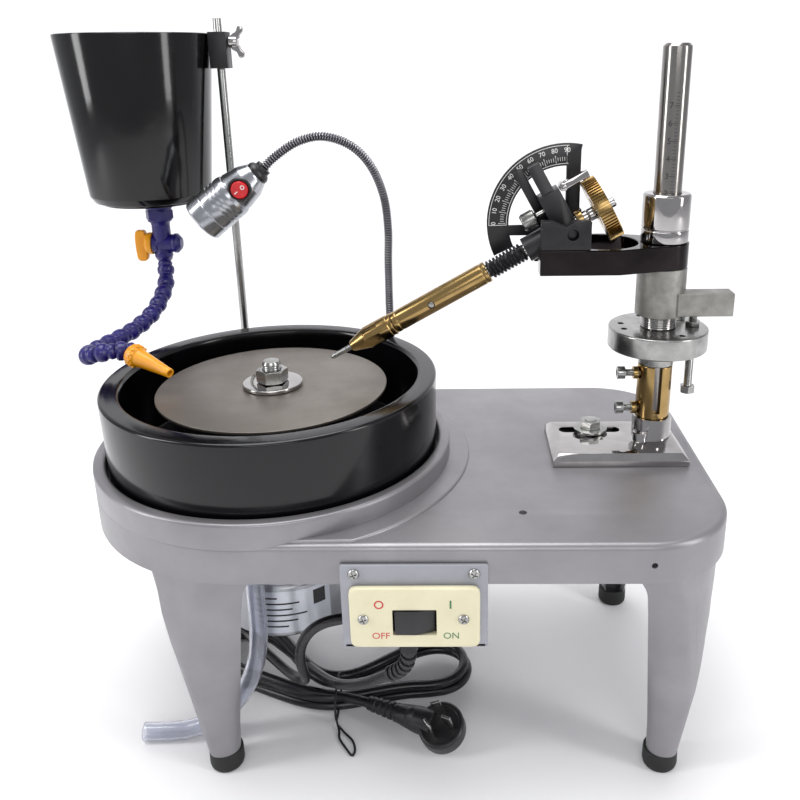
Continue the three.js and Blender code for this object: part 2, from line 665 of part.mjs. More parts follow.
function valveKnob() {
  const start = valve.x - 7 - gap;
  const hub = barX(start - 5, start, bucket.y, valve.barrelZ, 8.6, 24);
  const paddle = block(start - 13, start - 4, bucket.y - 3, bucket.y + 3,
    valve.barrelZ - 14, valve.barrelZ + 10);
  return join(hub, paddle);
}
place("valve_knob", valveKnob(), finish.yellow);
const hoseEnd = hoseRoute[hoseRoute.length - 1];
const lastBall = solid(new THREE.SphereGeometry(hoseRadius, 12, 8).translate(...hoseEnd));
place("coolant_hose", join(tubeThrough(hoseRoute, hoseRadius, 26, 8), lastBall), finish.blue);

const nozzleGroup = new THREE.Group();
nozzleGroup.position.set(...hoseEnd);
nozzleGroup.lookAt(...nozzleTip);
machine.add(nozzleGroup);
const nozzleCone = turned([
  [0, hoseRadius + gap], [nozzle.baseRadius - 1, hoseRadius + gap], [nozzle.baseRadius, hoseRadius + 2],
  [nozzle.baseRadius, 11], [nozzle.baseRadius - 2, 14], [nozzle.tipRadius, nozzle.length],
  [1.8, nozzle.length], [1.8, nozzle.length - 6], [0, nozzle.length - 6],
], 0, 0, 20);
place("nozzle", nozzleCone, finish.yellow, nozzleGroup);

// ---------------------------------------------------------------- lamp
const neckPlace = gooseneckRoute[gooseneckRoute.length - 1];
const lampAim = [-57.8, 60, 330.5];

function gooseneck() {
  const [x, y, z] = gooseneckRoute[0];
  const floor = table.top + gap;
  return join(
    tubeThrough(gooseneckRoute, gooseneckRadius, 26, 8),
    post(x, y, floor, floor + lampBase.height, lampBase.radius, 24),
    post(x, y, floor + lampBase.height - 1, z + 6, gooseneckRadius + 2, 16, gooseneckRadius + 0.6),
  );
}
place("lamp_gooseneck", gooseneck(), finish.blackChrome);

const lampGroup = new THREE.Group();
lampGroup.position.set(...neckPlace);
lampGroup.up.set(0, 0, 1);
lampGroup.lookAt(...lampAim);
machine.add(lampGroup);
const lampRockerAt = { along: 22, radius: 6.6, depth: 6 };

function lampShell() {
  const { length, radius, neckRadius } = lampHead;
  const shell = turned([
    [0, gap + 0.4], [neckRadius, gap + 0.4], [neckRadius + 3, 5], [radius - 3.4, 15], [radius - 1, 27],
    [radius, 31], [radius, length], [radius - 2.5, length], [radius - 2.5, length - 5],
    [radius - 4, length - 6], [0, length - 6],
  ], 0, 0, 24);
  const seatRadius = lampRockerAt.radius + turnGap;
  const seat = solid(new THREE.CylinderGeometry(seatRadius, seatRadius, 20, 20)
    .rotateZ(Math.PI / 2).translate(radius - 2 + 10 - lampRockerAt.depth, 0, lampRockerAt.along));
  return cut(shell, seat);
}
place("lamp_head", lampShell(), finish.aluminium, lampGroup);
const lensDisc = turned([
  [0, lampHead.length - 5.6], [lampHead.radius - 2.9, lampHead.length - 4.6],
  [lampHead.radius - 2.9, lampHead.length - 3], [0, lampHead.length - 1.4],
], 0, 0, 28);
place("lamp_lens", lensDisc, finish.glass, lampGroup);
const lampRockerGroup = new THREE.Group();
lampRockerGroup.position.set(lampHead.radius - 3.4, 0, lampRockerAt.along);
lampRockerGroup.rotation.y = -THREE.MathUtils.degToRad(rockerTilt);
lampGroup.add(lampRockerGroup);
place("lamp_rocker", barX(-2.2, 2.2, 0, 0, lampRockerAt.radius, 20), finish.red, lampRockerGroup);

// ---------------------------------------------------------------- mast
function mastBase() {
  const bottom = table.top + gap;
  const top = bottom + basePlate.thickness - gap;
  const shape = outline([[basePlate.left, basePlate.front], [basePlate.right, basePlate.front],
    [basePlate.right, basePlate.back], [basePlate.left, basePlate.back]]);
  const plate = raised(shape, bottom, top - basePlate.bevel);
  const middleX = (basePlate.left + basePlate.right) / 2;
  const middleY = (basePlate.front + basePlate.back) / 2;
  const halfX = (basePlate.right - basePlate.left) / 2;
  const halfY = (basePlate.back - basePlate.front) / 2;
  const corners = (inset) => [[-1, -1], [1, -1], [1, 1], [-1, 1]].map(([u, v]) => [
    middleX + u * (halfX - inset), middleY + v * (halfY - inset)]);
  const bevelled = between(corners(0), top - basePlate.bevel, corners(basePlate.bevel), top);
  const ring = post(mast.x, mast.y, top - 1, top + socket.height, socket.radius);
  const boss = post(mast.x - 9, mast.y - 9, top - 1, top + 6, 5, 20);
  const halfSlot = baseSlot.width / 2;
  const slot = block(baseSlot.left + halfSlot, baseSlot.right - halfSlot, baseSlot.y - halfSlot,
    baseSlot.y + halfSlot, bottom - 1, top + 1);
  return cut(
    join(plate, bevelled, ring, boss),
    slot,
    post(baseSlot.left + halfSlot, baseSlot.y, bottom - 1, top + 1, halfSlot, 16),
    post(baseSlot.right - halfSlot, baseSlot.y, bottom - 1, top + 1, halfSlot, 16),
    post(mast.x, mast.y, bottom + 2, top + 40, mast.postRadius + gap),
  );
}
place("mast_base_plate", mastBase(), finish.chrome);
const basePlateTop = table.top + basePlate.thickness;

function slotBoltSolid() {
  const seat = basePlateTop + gap;
  const headBottom = seat + slotBolt.washerThickness;
  return join(
    post(slotBolt.x, baseSlot.y, table.top - table.plate - 8, headBottom, slotBolt.radius, 20),
    post(slotBolt.x, baseSlot.y, seat, headBottom, slotBolt.washerRadius, 28),
    hexagon(slotBolt.x, baseSlot.y, headBottom, headBottom + slotBolt.headHeight, slotBolt.headFlats),
  );
}
place("slot_bolt", slotBoltSolid(), finish.steel);

const postBottom = table.top + 2 + 2 * gap;
const chamferBottom = mast.postTop - mast.chamfer;
place("mast_post", join(
  post(mast.x, mast.y, postBottom, chamferBottom, mast.postRadius),
  post(mast.x, mast.y, chamferBottom, mast.postTop, mast.postRadius, 32, mast.postRadius - mast.chamfer),
), finish.steel);

const postBore = (z0, z1) => post(mast.x, mast.y, z0, z1, mast.postRadius + gap);

function brassSleeve() {
  const bottom = basePlateTop + socket.height + gap;
  const tube = cut(
    post(mast.x, mast.y, bottom, brass.top, brass.radius),
    postBore(bottom - 1, brass.top + 1),
    block(mast.x - brass.slot / 2, mast.x + brass.slot / 2, mast.y - 20, mast.y, bottom + 4, brass.top + 1),
  );
  const screw = (z) => join(
    barX(mast.x - 21, mast.x - mast.postRadius - 2 * gap, mast.y - 2, z, 2.5, 16),
    barX(mast.x - 25.5, mast.x - 20, mast.y - 2, z, 4.3, 20),
  );
  return join(tube, screw(bottom + 5.5), screw(brass.top - 6));
}
place("brass_sleeve", brassSleeve(), finish.brass);

const flangeBolt = { reach: 22.4, radius: 2.8, headFlats: 8.8, headHeight: 5 };

function flangeDisc() {
  const disc = join(
    post(mast.x, mast.y, flange.bottom, flange.top, flange.radius, 36),
    post(mast.x, mast.y, brass.top + gap, flange.bottom + 1, flange.hubRadius),
  );
  const boltAt = (turn, lowest, highest) => {
    const x = mast.x + flangeBolt.reach * Math.cos(turn);
    const y = mast.y + flangeBolt.reach * Math.sin(turn);
    return join(
      post(x, y, lowest, highest, flangeBolt.radius, 12),
      hexagon(x, y, lowest - flangeBolt.headHeight, lowest, flangeBolt.headFlats),
      hexagon(x, y, flange.top - 1, flange.top + 3.6, flangeBolt.headFlats),
    );
  };
  const hole = (turn) => post(mast.x + 24 * Math.cos(turn), mast.y + 24 * Math.sin(turn), 250, 280, 2, 12);
  return cut(
    join(disc, boltAt(0, 229, flange.top + 7), boltAt(0.75, 248, flange.top + 7)),
    postBore(brass.top, flange.top + 1),
    hole(Math.PI * 0.92),
    hole(Math.PI * 1.08),
  );
}
place("flange_disc", flangeDisc(), finish.steel);

function carriageSleeve() {
  return cut(
    join(
      post(mast.x, mast.y, sleeve.bottom, arm.top + 1, sleeve.lowerRadius),
      post(mast.x, mast.y, arm.top + gap, sleeve.top, sleeve.radius),
    ),
    postBore(sleeve.bottom - 1, sleeve.top + 1),
  );
}
place("carriage_sleeve", carriageSleeve(), finish.chrome);
const sleeveBore = (z0, z1) => post(mast.x, mast.y, z0, z1, sleeve.lowerRadius + turnGap);

function heightClamp() {
  const barrel = post(mast.x, mast.y, clamp.bottom, clamp.top, clamp.radius);
  const middle = clamp.bottom + 9;
  const handle = block(mast.x + 8, mast.x + clamp.handleReach, mast.y - 8 - clamp.handleWidth / 2,
    mast.y - 8 + clamp.handleWidth / 2, middle - clamp.handleHeight / 2, middle + clamp.handleHeight / 2);
  return cut(join(barrel, handle), sleeveBore(clamp.bottom - 1, clamp.top + 1));
}
place("height_clamp", heightClamp(), finish.zinc);

// The arm: a wide fork with a round opening for the index gear, narrowing to an eye on the mast.
function carriageArm() {
  const away = Math.hypot(mast.x - arm.shoulder, arm.halfWidth);
  const lean = Math.atan2(arm.halfWidth, mast.x - arm.shoulder);
  const touch = Math.PI / 2 - lean + Math.acos(arm.eyeRadius / away) - Math.PI / 2;
  const from = Math.PI - lean - Math.acos(arm.eyeRadius / away);
  const shape = new THREE.Shape();
  shape.moveTo(arm.left, mast.y - arm.halfWidth);
  shape.lineTo(arm.shoulder, mast.y - arm.halfWidth);
  shape.absarc(mast.x, mast.y, arm.eyeRadius, -from, from, false);
  shape.lineTo(arm.shoulder, mast.y + arm.halfWidth);
  shape.lineTo(arm.left, mast.y + arm.halfWidth);
  shape.closePath();
  return cut(
    raised(shape, arm.bottom, arm.top),
    post(armOpening.x, mast.y, arm.bottom - 1, arm.top + 1, armOpening.radius, 40),
    block(arm.left - 1, armOpening.x, mast.y - armOpening.slotHalfWidth, mast.y + armOpening.slotHalfWidth,
      arm.bottom - 1, arm.top + 1),
    sleeveBore(arm.bottom - 1, arm.top + 1),
  );
}
place("carriage_arm", carriageArm(), finish.blackChrome);

// Two cheeks stand on the fork's prongs and carry the head's trunnion.
function cheekAt(front) {
  const left = arm.left + 0.5;
  const right = left + cheek.width;
  const bottom = arm.top + gap;
  const shape = outline([[left, bottom], [right, bottom], [right, cheek.top], [pivot.x + 1, cheek.top],
    [pivot.x - 4, pivot.z + trunnionRadius + 1.4], [left + 7, cheek.top], [left, cheek.top]]);
  return cut(
    upright(shape, front, front + cheek.thickness),
    barY(pivot.x, front - 1, front + cheek.thickness + 1, pivot.z, trunnionRadius + turnGap, 24),
  );
}
const frontCheek = mast.y - arm.halfWidth;
const backCheek = mast.y + arm.halfWidth - cheek.thickness;
place("front_cheek", cheekAt(frontCheek), finish.mattBlack);
place("back_cheek", cheekAt(backCheek), finish.mattBlack);

function quadrantPlate() {
  const shape = new THREE.Shape();
  const from = THREE.MathUtils.degToRad(79);
  const to = THREE.MathUtils.degToRad(205);
  shape.absarc(pivot.x, pivot.z, quadrant.outer, from, to, false);
  shape.absarc(pivot.x, pivot.z, quadrant.inner, to, from, true);
  shape.closePath();
  const y0 = quadrant.y;
  const y1 = quadrant.y + quadrant.thickness;
  const hub = barY(pivot.x, y0, y1, pivot.z, 10, 24);
  const spokeUp = block(pivot.x, pivot.x + quadrant.spoke, y0, y1, pivot.z, pivot.z + quadrant.outer - 2);
  const spokeLeft = block(pivot.x - quadrant.inner - 3, pivot.x, y0, y1, pivot.z - 8, pivot.z - 1.5);
  return cut(
    join(upright(shape, y0, y1, 14), hub, spokeUp, spokeLeft),
    barY(pivot.x, y0 - 1, y1 + 1, pivot.z, trunnionRadius + turnGap, 24),
    block(arm.left - 4, arm.shoulder, y0 - 1, y1 + 1, 300, arm.top + gap),
  );
}
place("quadrant", quadrantPlate(), finish.mattBlack);

// ---------------------------------------------------------------- angle head and quill
// The head's own frame: X along the quill towards the gear, Z away from the quill, Y across.
const head = new THREE.Group();
head.position.set(pivot.x, mast.y, pivot.z);
head.rotation.y = -THREE.MathUtils.degToRad(quillAngle);
machine.add(head);
const shaftBore = (x0, x1) => barX(x0, x1, 0, 0, quillRadius.shaft + turnGap, 24);

function indexHead() {
  const { front, back, below, above, halfWidth } = indexBlock;
  const body = block(front, back, -halfWidth, halfWidth, below, above);
  const housing = barX(quill.housingFront, front + 1, 0, 0, quillRadius.housing, 28);
  const stop = block(-5, 3, -4, 4, above - 1, above + 19);
  const reach = mast.y - frontCheek - gap;
  const trunnion = barY(0, -reach + 3, reach - 3, 0, trunnionRadius, 24);
  return cut(
    join(body, housing, stop, trunnion),
    shaftBore(quill.housingFront - 1, back + 1),
    barX(front - 1, front + 6, 0, 16, 2 + turnGap, 16),
  );
}
place("index_head", indexHead(), finish.mattBlack, head);

const pointerPlate = block(-14, -7.8, indexBlock.halfWidth + gap, quadrant.y - mast.y - turnGap, 6, 45);
place("pointer_bar", pointerPlate, finish.mattBlack, head);

const knobPlace = { z: 16, front: -24, back: -14.4 };
place("adjust_knob", join(
  barX(knobPlace.front, knobPlace.back, 0, knobPlace.z, 5.6, 20),
  barX(knobPlace.back - 1, indexBlock.front + 4, 0, knobPlace.z, 2, 16),
), finish.steel, head);

const pawl = { lift: 0.5, height: 4, halfWidth: 3, pivotX: 9, pivotZ: 24.5 };
function indexPawl() {
  const low = gear.radius + pawl.lift;
  const back = indexBlock.back + 1;
  const reach = gear.front + gear.thickness - 2;
  const armPart = block(back, reach, -pawl.halfWidth, pawl.halfWidth, low + 1, low + 1 + pawl.height);
  const tooth = block(gear.front + 2, reach, -0.8, 0.8, low, low + 2);
  return join(armPart, tooth, barY(pawl.pivotX, -5, 5, pawl.pivotZ, 2.6, 16));
}
place("index_pawl", indexPawl(), finish.chrome, head);

function quillShaft() {
  return join(
    barX(quill.chuckBack - 14, gear.front - gap, 0, 0, quillRadius.shaft, 24),
    barX(gear.front - 1, quill.stub, 0, 0, quillRadius.stub, 20),
  );
}
place("quill_shaft", quillShaft(), finish.chrome, head);

const fixedBore = (x0, x1) => barX(x0, x1, 0, 0, quillRadius.shaft + gap, 24);
place("quill_tube", cut(
  barX(quill.chuckBack + gap, quill.tubeBack, 0, 0, quillRadius.tube, 28),
  fixedBore(quill.chuckBack - 1, quill.tubeBack + 1),
  barY(quill.chuckBack + 28.5, -10, -3, 0, 2.4, 14),
), finish.brass, head);
place("quill_spring", cut(
  barX(quill.tubeBack + gap, quill.springBack, 0, 0, quillRadius.spring, 24),
  fixedBore(quill.tubeBack - 1, quill.springBack + 1),
), finish.blackChrome, head);

function quillChuck() {
  const taper = quill.nose + 12;
  const made = join(
    barX(taper, quill.chuckBack, 0, 0, quillRadius.tube + 0.5, 28),
    barX(quill.nose, taper + 0.5, 0, 0, quillRadius.nose, 28, quillRadius.tube + 0.5),
  );
  return cut(
    made,
    barX(quill.nose - 1, quill.nose + 14, 0, 0, quillRadius.dop + gap, 16),
    fixedBore(quill.chuckBack - 14.5, quill.chuckBack + 1),
  );
}
place("quill_chuck", quillChuck(), finish.brass, head);
place("dop", join(
  barX(quill.tip, quill.tip + 1.5, 0, 0, quillRadius.dop - 0.6, 16, quillRadius.dop),
  barX(quill.tip + 1.4, quill.nose + 13, 0, 0, quillRadius.dop, 16),
), finish.steel, head);

function indexGear() {
  const teeth = 40;
  const points = [];
  for (let i = 0; i < teeth; i++) {
    for (const [share, radius] of [[0, gear.radius], [0.5, gear.radius - 0.9]]) {
      const turn = (2 * Math.PI * (i + share)) / teeth;
      points.push([radius * Math.cos(turn), radius * Math.sin(turn)]);
    }
  }
  const wheel = new THREE.ExtrudeGeometry(outline(points), { depth: gear.thickness, bevelEnabled: false });
  const made = solid(wheel.rotateY(Math.PI / 2).translate(gear.front, 0, 0));
  return cut(made, barX(gear.front - 1, gear.front + gear.thickness + 1, 0, 0, quillRadius.stub + gap, 24));
}
place("index_gear", indexGear(), finish.brass, head);

// ---------------------------------------------------------------- the machine's own origin
const flexible = new Set(["power_cord", "cord_hank", "plug_body", "motor_lead", "drain_hose"]);
root.updateMatrixWorld(true);
const box = new THREE.Box3();
machine.traverse((piece) => {
  if (piece.isMesh && !flexible.has(piece.name)) box.expandByObject(piece, true);
});
machine.position.set(-(box.min.x + box.max.x) / 2, -(box.min.y + box.max.y) / 2, -box.min.z);

export default root;
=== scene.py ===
# %% [markdown]
# # A bench faceting machine
# This lesson dresses a gem cutter's faceting machine. The frame is a finished CAD model in metres, with +Z
# up: it fixes where every piece sits and how it moves. Here each piece gets its real shape, from turned
# profiles, bevelled plates and small Geometry Nodes trees, and a finish that says how it was made.

# %% Load the frame
import json
import math

import bmesh
import bpy
from mathutils import Matrix, Vector


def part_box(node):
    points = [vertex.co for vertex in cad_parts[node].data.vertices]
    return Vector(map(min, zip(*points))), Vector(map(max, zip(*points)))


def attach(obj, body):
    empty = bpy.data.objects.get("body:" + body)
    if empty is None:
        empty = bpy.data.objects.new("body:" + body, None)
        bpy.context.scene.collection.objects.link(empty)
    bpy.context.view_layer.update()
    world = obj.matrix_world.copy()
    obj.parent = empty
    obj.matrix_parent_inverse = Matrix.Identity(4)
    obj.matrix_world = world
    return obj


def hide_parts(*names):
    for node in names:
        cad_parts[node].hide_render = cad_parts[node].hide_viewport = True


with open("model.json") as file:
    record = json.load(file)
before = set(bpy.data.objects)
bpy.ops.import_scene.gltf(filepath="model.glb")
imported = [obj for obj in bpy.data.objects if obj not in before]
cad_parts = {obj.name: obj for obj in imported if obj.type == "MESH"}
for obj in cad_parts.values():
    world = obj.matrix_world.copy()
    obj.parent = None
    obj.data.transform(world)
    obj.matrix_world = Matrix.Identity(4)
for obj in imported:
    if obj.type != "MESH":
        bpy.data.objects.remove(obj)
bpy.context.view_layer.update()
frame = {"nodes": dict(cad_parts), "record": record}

# %% [markdown]
# Places are easiest to read in millimetres from the spindle's axis, because the lap is what the whole machine
# is built round. Heights are counted so that the lap's face is at 234.9 mm, which puts the bench top at
# 5.5 mm, as in the CAD model's own working frame. One function turns such a place into the frame's metres.

# %% Places
MM = 0.001
lap_low, lap_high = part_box("lap_disc")
LAP_FACE, BENCH = 234.9, 5.5
SPINDLE = Vector(((lap_low.x + lap_high.x) / 2, (lap_low.y + lap_high.y) / 2,
    lap_high.z - LAP_FACE * MM))
RIGHT, BACK = Vector((1, 0, 0)), Vector((0, 1, 0))


def at(x, y, z):
    """A place in millimetres from the spindle's axis, in the frame's metres."""
    return SPINDLE + Vector((x, y, z)) * MM


def turn_to(axis, origin=Vector((0, 0, 0)), roll=0.0):
    """The matrix that carries a shape drawn about Z to an axis through a place."""
    facing = Vector(axis).normalized().to_track_quat("Z", "Y").to_matrix().to_4x4()
    return Matrix.Translation(origin) @ facing @ Matrix.Rotation(roll, 4, "Z")


print("spindle at", [round(v, 4) for v in SPINDLE])

# %% [markdown]
# ## The camera
# It stands a little above and in front of the machine and looks slightly down. It comes first, because the
# leads on the floor have to lie where it sees them.

# %% Camera
LENS = 37.85
CAMERA_PLACE = at(121.1, -517.1, 439.3)
camera_data = bpy.data.cameras.new("camera")
camera_data.sensor_width = 36
camera_data.lens = LENS
camera_data.shift_x = -0.052
camera_data.shift_y = -0.077
camera = bpy.data.objects.new("camera", camera_data)
bpy.context.scene.collection.objects.link(camera)
pitch, yaw, roll = math.radians(18.5), math.radians(-1.0), math.radians(-0.8)
ahead = Vector((math.sin(yaw) * math.cos(pitch), math.cos(yaw) * math.cos(pitch), -math.sin(pitch)))
level = Vector((math.cos(yaw), -math.sin(yaw), 0))
above = level.cross(ahead)
side = level * math.cos(roll) + above * math.sin(roll)
top = above * math.cos(roll) - level * math.sin(roll)
camera.matrix_world = Matrix.Translation(CAMERA_PLACE) @ Matrix(
    ((side.x, top.x, -ahead.x), (side.y, top.y, -ahead.y), (side.z, top.z, -ahead.z))
).to_4x4()
bpy.context.scene.camera = camera
print("camera at", [round(v, 3) for v in camera.matrix_world.translation])

# %% [markdown]
# ## Floor and light
# A pale floor that curves up behind the machine, one broad softbox overhead, two upright strips that draw
# long highlights on the turned metal, and a weak fill from the front.

# %% Floor and lights


def linear(code):
    """An sRGB colour such as "#98979b" as linear red, green, blue and alpha."""
    parts = [int(code[i : i + 2], 16) / 255 for i in (1, 3, 5)]
    return tuple(c / 12.92 if c <= 0.04045 else ((c + 0.055) / 1.055) ** 2.4 for c in parts) + (1.0,)


def linked(name, data):
    made = bpy.data.objects.new(name, data)
    bpy.context.scene.collection.objects.link(made)
    return made


def studio_floor():
    sweep = [(-1.6, 0.0), (0.9, 0.0)]
    sweep += [(0.9 + 0.6 * math.sin(a),
        0.6 - 0.6 * math.cos(a)) for a in [math.pi * i / 32 for i in range(1, 17)]]
    sweep.append((1.5, 3.0))
    mesh = bpy.data.meshes.new("floor")
    mesh.from_pydata(
        [(x, y, z) for y, z in sweep for x in (-3.0, 3.0)],
        [],
        [(2 * i, 2 * i + 1, 2 * i + 3, 2 * i + 2) for i in range(len(sweep) - 1)],
    )
    mesh.shade_smooth()
    paper = bpy.data.materials.new("white_background_paper")
    paper.use_nodes = True
    shader = paper.node_tree.nodes["Principled BSDF"]
    shader.inputs["Base Color"].default_value = linear("#f4f3f4")
    shader.inputs["Roughness"].default_value = 0.9
    mesh.materials.append(paper)
    floor = linked("studio_floor", mesh)
    return floor


def softbox(name, place, aim, size, watts, tint="#ffffff"):
    data = bpy.data.lights.new(name, "AREA")
    data.shape = "RECTANGLE"
    data.size, data.size_y = size
    data.energy = watts
    data.color = linear(tint)[:3]
    made = linked(name, data)
    made.matrix_world = Matrix.Translation(place) @ (Vector(aim) - Vector(place)).to_track_quat("-Z",
        "Y").to_matrix().to_4x4()
    return made


studio_floor()
middle = Vector((0, 0, 0.2))
softbox("overhead_softbox", Vector((-0.1, 0.1, 1.9)), middle, (1.5, 1.1), 26)
softbox("left_strip", Vector((-1.5, -0.5, 0.9)), middle, (0.35, 1.5), 13)
softbox("right_strip", Vector((1.4, -0.7, 0.8)), middle, (0.3, 1.4), 9)
softbox("front_fill", Vector((0.2, -2.0, 1.1)), middle, (1.2, 0.8), 9)
world = bpy.data.worlds.new("studio")
bpy.context.scene.world = world
world.use_nodes = True
world.node_tree.nodes["Background"].inputs["Color"].default_value = linear("#dfe1e6")
world.node_tree.nodes["Background"].inputs["Strength"].default_value = 0.62
bpy.context.scene.view_settings.view_transform = "Standard"
# %% [markdown]
# ## Finishes
# A finish starts from what the surface is and how it was made. One helper adds a node with its settings and
# links. One recipe then builds each material: a base colour that drifts to a second one in soft blotches, a
# roughness that drifts with it, and a fine grain pressed into the surface as bump. Stretching the grain along
# an axis turns it into brush marks, and counting rings about an axis turns it into lathe marks.

# %% One helper and one recipe


def add(tree, kind, settings=None, links=None):
    """Adds a node. Settings name its properties or its inputs; links join its inputs to other outputs."""
    node = tree.nodes.new(kind)
    for key, value in (settings or {}).items():
        if isinstance(key, str) and hasattr(node, key):
            setattr(node, key, value)
        else:
            node.inputs[key].default_value = value
    for key, source in (links or {}).items():
        tree.links.new(source, node.inputs[key])
    return node


def finish(name, base, second, metallic, rough, swing=0.08, blotch=30, grain=0.6, depth=0.02,
           stretch=(1, 1, 1), rings=None, **shader_values):
    """A material. blotch and grain are sizes in millimetres, depth is how deep the grain is, in millimetres.
    rings is (axis matrix, spacing in mm): fine circular lathe marks about that axis."""
    made = bpy.data.materials.new(name)
    made.use_nodes = True
    tree = made.node_tree
    shader = tree.nodes["Principled BSDF"]
    place = add(tree, "ShaderNodeTexCoord").outputs["Object"]
    blotches = add(tree, "ShaderNodeTexNoise", {"Scale": 1 / (blotch * MM), "Detail": 4,
        "Roughness": 0.6}, {"Vector": place})
    ramp = add(tree, "ShaderNodeMapRange", {"From Min": 0.3, "From Max": 0.7},
        {"Value": blotches.outputs["Fac"]})
    colour = add(tree, "ShaderNodeMix", {"data_type": "RGBA", 6: linear(base), 7: linear(second)},
                 {0: ramp.outputs["Result"]}).outputs[2]
    drift = add(tree, "ShaderNodeMapRange", {"To Min": max(0.02, rough - swing / 2),
        "To Max": rough + swing / 2},
                {"Value": ramp.outputs["Result"]}).outputs["Result"]
    if rings:
        axis, spacing = rings
        spin = axis.to_3x3().inverted().to_euler("XYZ")
        shift = -(axis.to_3x3().inverted() @ axis.translation)
        turned_place = add(tree, "ShaderNodeMapping", {"Rotation": spin, "Location": shift},
            {"Vector": place})
        split = add(tree, "ShaderNodeSeparateXYZ", {}, {"Vector": turned_place.outputs["Vector"]})
        radius = add(tree, "ShaderNodeVectorMath", {"operation": "LENGTH"},
            {0: add(tree, "ShaderNodeCombineXYZ", {}, {
            "X": split.outputs["X"], "Y": split.outputs["Y"]}).outputs["Vector"]})
        along = add(tree, "ShaderNodeMath", {"operation": "ADD"},
            {0: radius.outputs["Value"], 1: split.outputs["Z"]})
        marks = add(tree, "ShaderNodeTexNoise", {"noise_dimensions": "1D", "Scale": 1 / (spacing * MM),
            "Detail": 3},
                    {"W": along.outputs["Value"]})
    else:
        longer = add(tree, "ShaderNodeMapping", {"Scale": stretch}, {"Vector": place})
        marks = add(tree, "ShaderNodeTexNoise", {"Scale": 1 / (grain * MM), "Detail": 3},
            {"Vector": longer.outputs["Vector"]})
    bump = add(tree, "ShaderNodeBump", {"Strength": 0.6, "Distance": depth * MM},
        {"Height": marks.outputs["Fac"]})
    tree.links.new(colour, shader.inputs["Base Color"])
    tree.links.new(drift, shader.inputs["Roughness"])
    tree.links.new(bump.outputs["Normal"], shader.inputs["Normal"])
    shader.inputs["Metallic"].default_value = metallic
    for key, value in shader_values.items():
        shader.inputs[key.replace("_", " ")].default_value = value
    return made


# %% [markdown]
# The castings are cast aluminium under a fine metallic silver paint: a satin sheen, a slight pebble of
# 0.5 mm and faint clouding. The basin and the bucket are thick black plastic, turned or moulded, with a deep
# gloss and hardly any colour of their own.

# %% Paint, plastic and rubber
silver_paint = finish("silver_paint_on_cast_aluminium", "#918f92", "#858386", 0.55, 0.36, 0.07, 45, 0.5,
    0.03)
# A darker, rougher copy of the silver paint for the table's underside, its holes, the skirt rib and the leg stubs:
# this is painted shade, not a second paint.
painted_shade_silver = finish("darker_silver_as_painted_shade", "#6f6e72", "#5e5d61", 0.35, 0.6, 0.1, 30, 0.8,
    0.06)
black_pvc = finish("turned_black_pvc", "#040405", "#08070a", 0.0, 0.15, 0.05, 40, 5, 0.04,
    Specular_IOR_Level=0.42)
black_moulded = finish("moulded_black_styrene", "#050405", "#090809", 0.0, 0.12, 0.04, 60, 7, 0.05,
    Specular_IOR_Level=0.45)
matt_black = finish("black_oxide_steel", "#161517", "#1f1e20", 0.3, 0.42, 0.1, 12, 0.5, 0.012)
satin_black = finish("moulded_black_abs", "#131214", "#1a191b", 0.0, 0.38, 0.08, 10, 0.35, 0.02)
rubber = finish("moulded_black_rubber", "#0f0f0f", "#191919", 0.0, 0.62, 0.1, 9, 0.4, 0.03)
cord_pvc = finish("extruded_black_pvc_sheath", "#0c0a0e", "#151218", 0.0, 0.3, 0.08, 15, 1.2, 0.02)
cream_urea = finish("cream_urea_switch_plate", "#ddd6b8", "#d3ccac", 0.0, 0.3, 0.06, 25, 0.8, 0.012)
sheet_grey = finish("grey_powder_coated_sheet", "#9a9ba2", "#92939a", 0.25, 0.45, 0.06, 20, 0.5, 0.03)
nylon_blue = finish("navy_blue_acetal", "#1d1668", "#150f52", 0.0, 0.33, 0.08, 6, 0.5, 0.02)
acetal_yellow = finish("amber_yellow_acetal", "#e39b12", "#d58a0c", 0.0, 0.33, 0.08, 8, 0.5, 0.02)
red_key = finish("gloss_red_polycarbonate", "#cf1a22", "#b8141c", 0.0, 0.22, 0.05, 4, 0.6, 0.01)
white_ink = finish("white_screen_ink", "#ecebe8", "#dddcd8", 0.0, 0.5, 0.05, 3, 0.3, 0.004)
red_ink = finish("red_screen_ink", "#c8323a", "#b82a32", 0.0, 0.5, 0.05, 3, 0.3, 0.004)
green_ink = finish("green_screen_ink", "#3f7a4c", "#356c41", 0.0, 0.5, 0.05, 3, 0.3, 0.004)
black_ink = finish("black_etched_marking", "#2a2a2c", "#1c1c1e", 0.2, 0.5, 0.05, 3, 0.3, 0.004)
label_film = finish("silver_label_film", "#c9ccd2", "#b9bdc6", 0.6, 0.3, 0.06, 25, 1.5, 0.004)
clear_pvc = finish("clear_pvc_hose", "#eceef6", "#e2e5f0", 0.0, 0.12, 0.06, 12, 2, 0.02,
    Transmission_Weight=0.88, IOR=1.53)
frosted_lens = finish("frosted_lamp_lens", "#efe6e0", "#e6d9d0", 0.0, 0.3, 0.06, 6, 0.6, 0.01,
    Transmission_Weight=0.35)

# %% [markdown]
# Bare metals differ by how they were worked. Chrome plate is a mirror with a breath of haze; a ground rod
# carries fine rings about its own axis, and so do turned brass and the lap, whose charged face is satin and
# brownish; sand-cast zinc is rough like coarse paper.

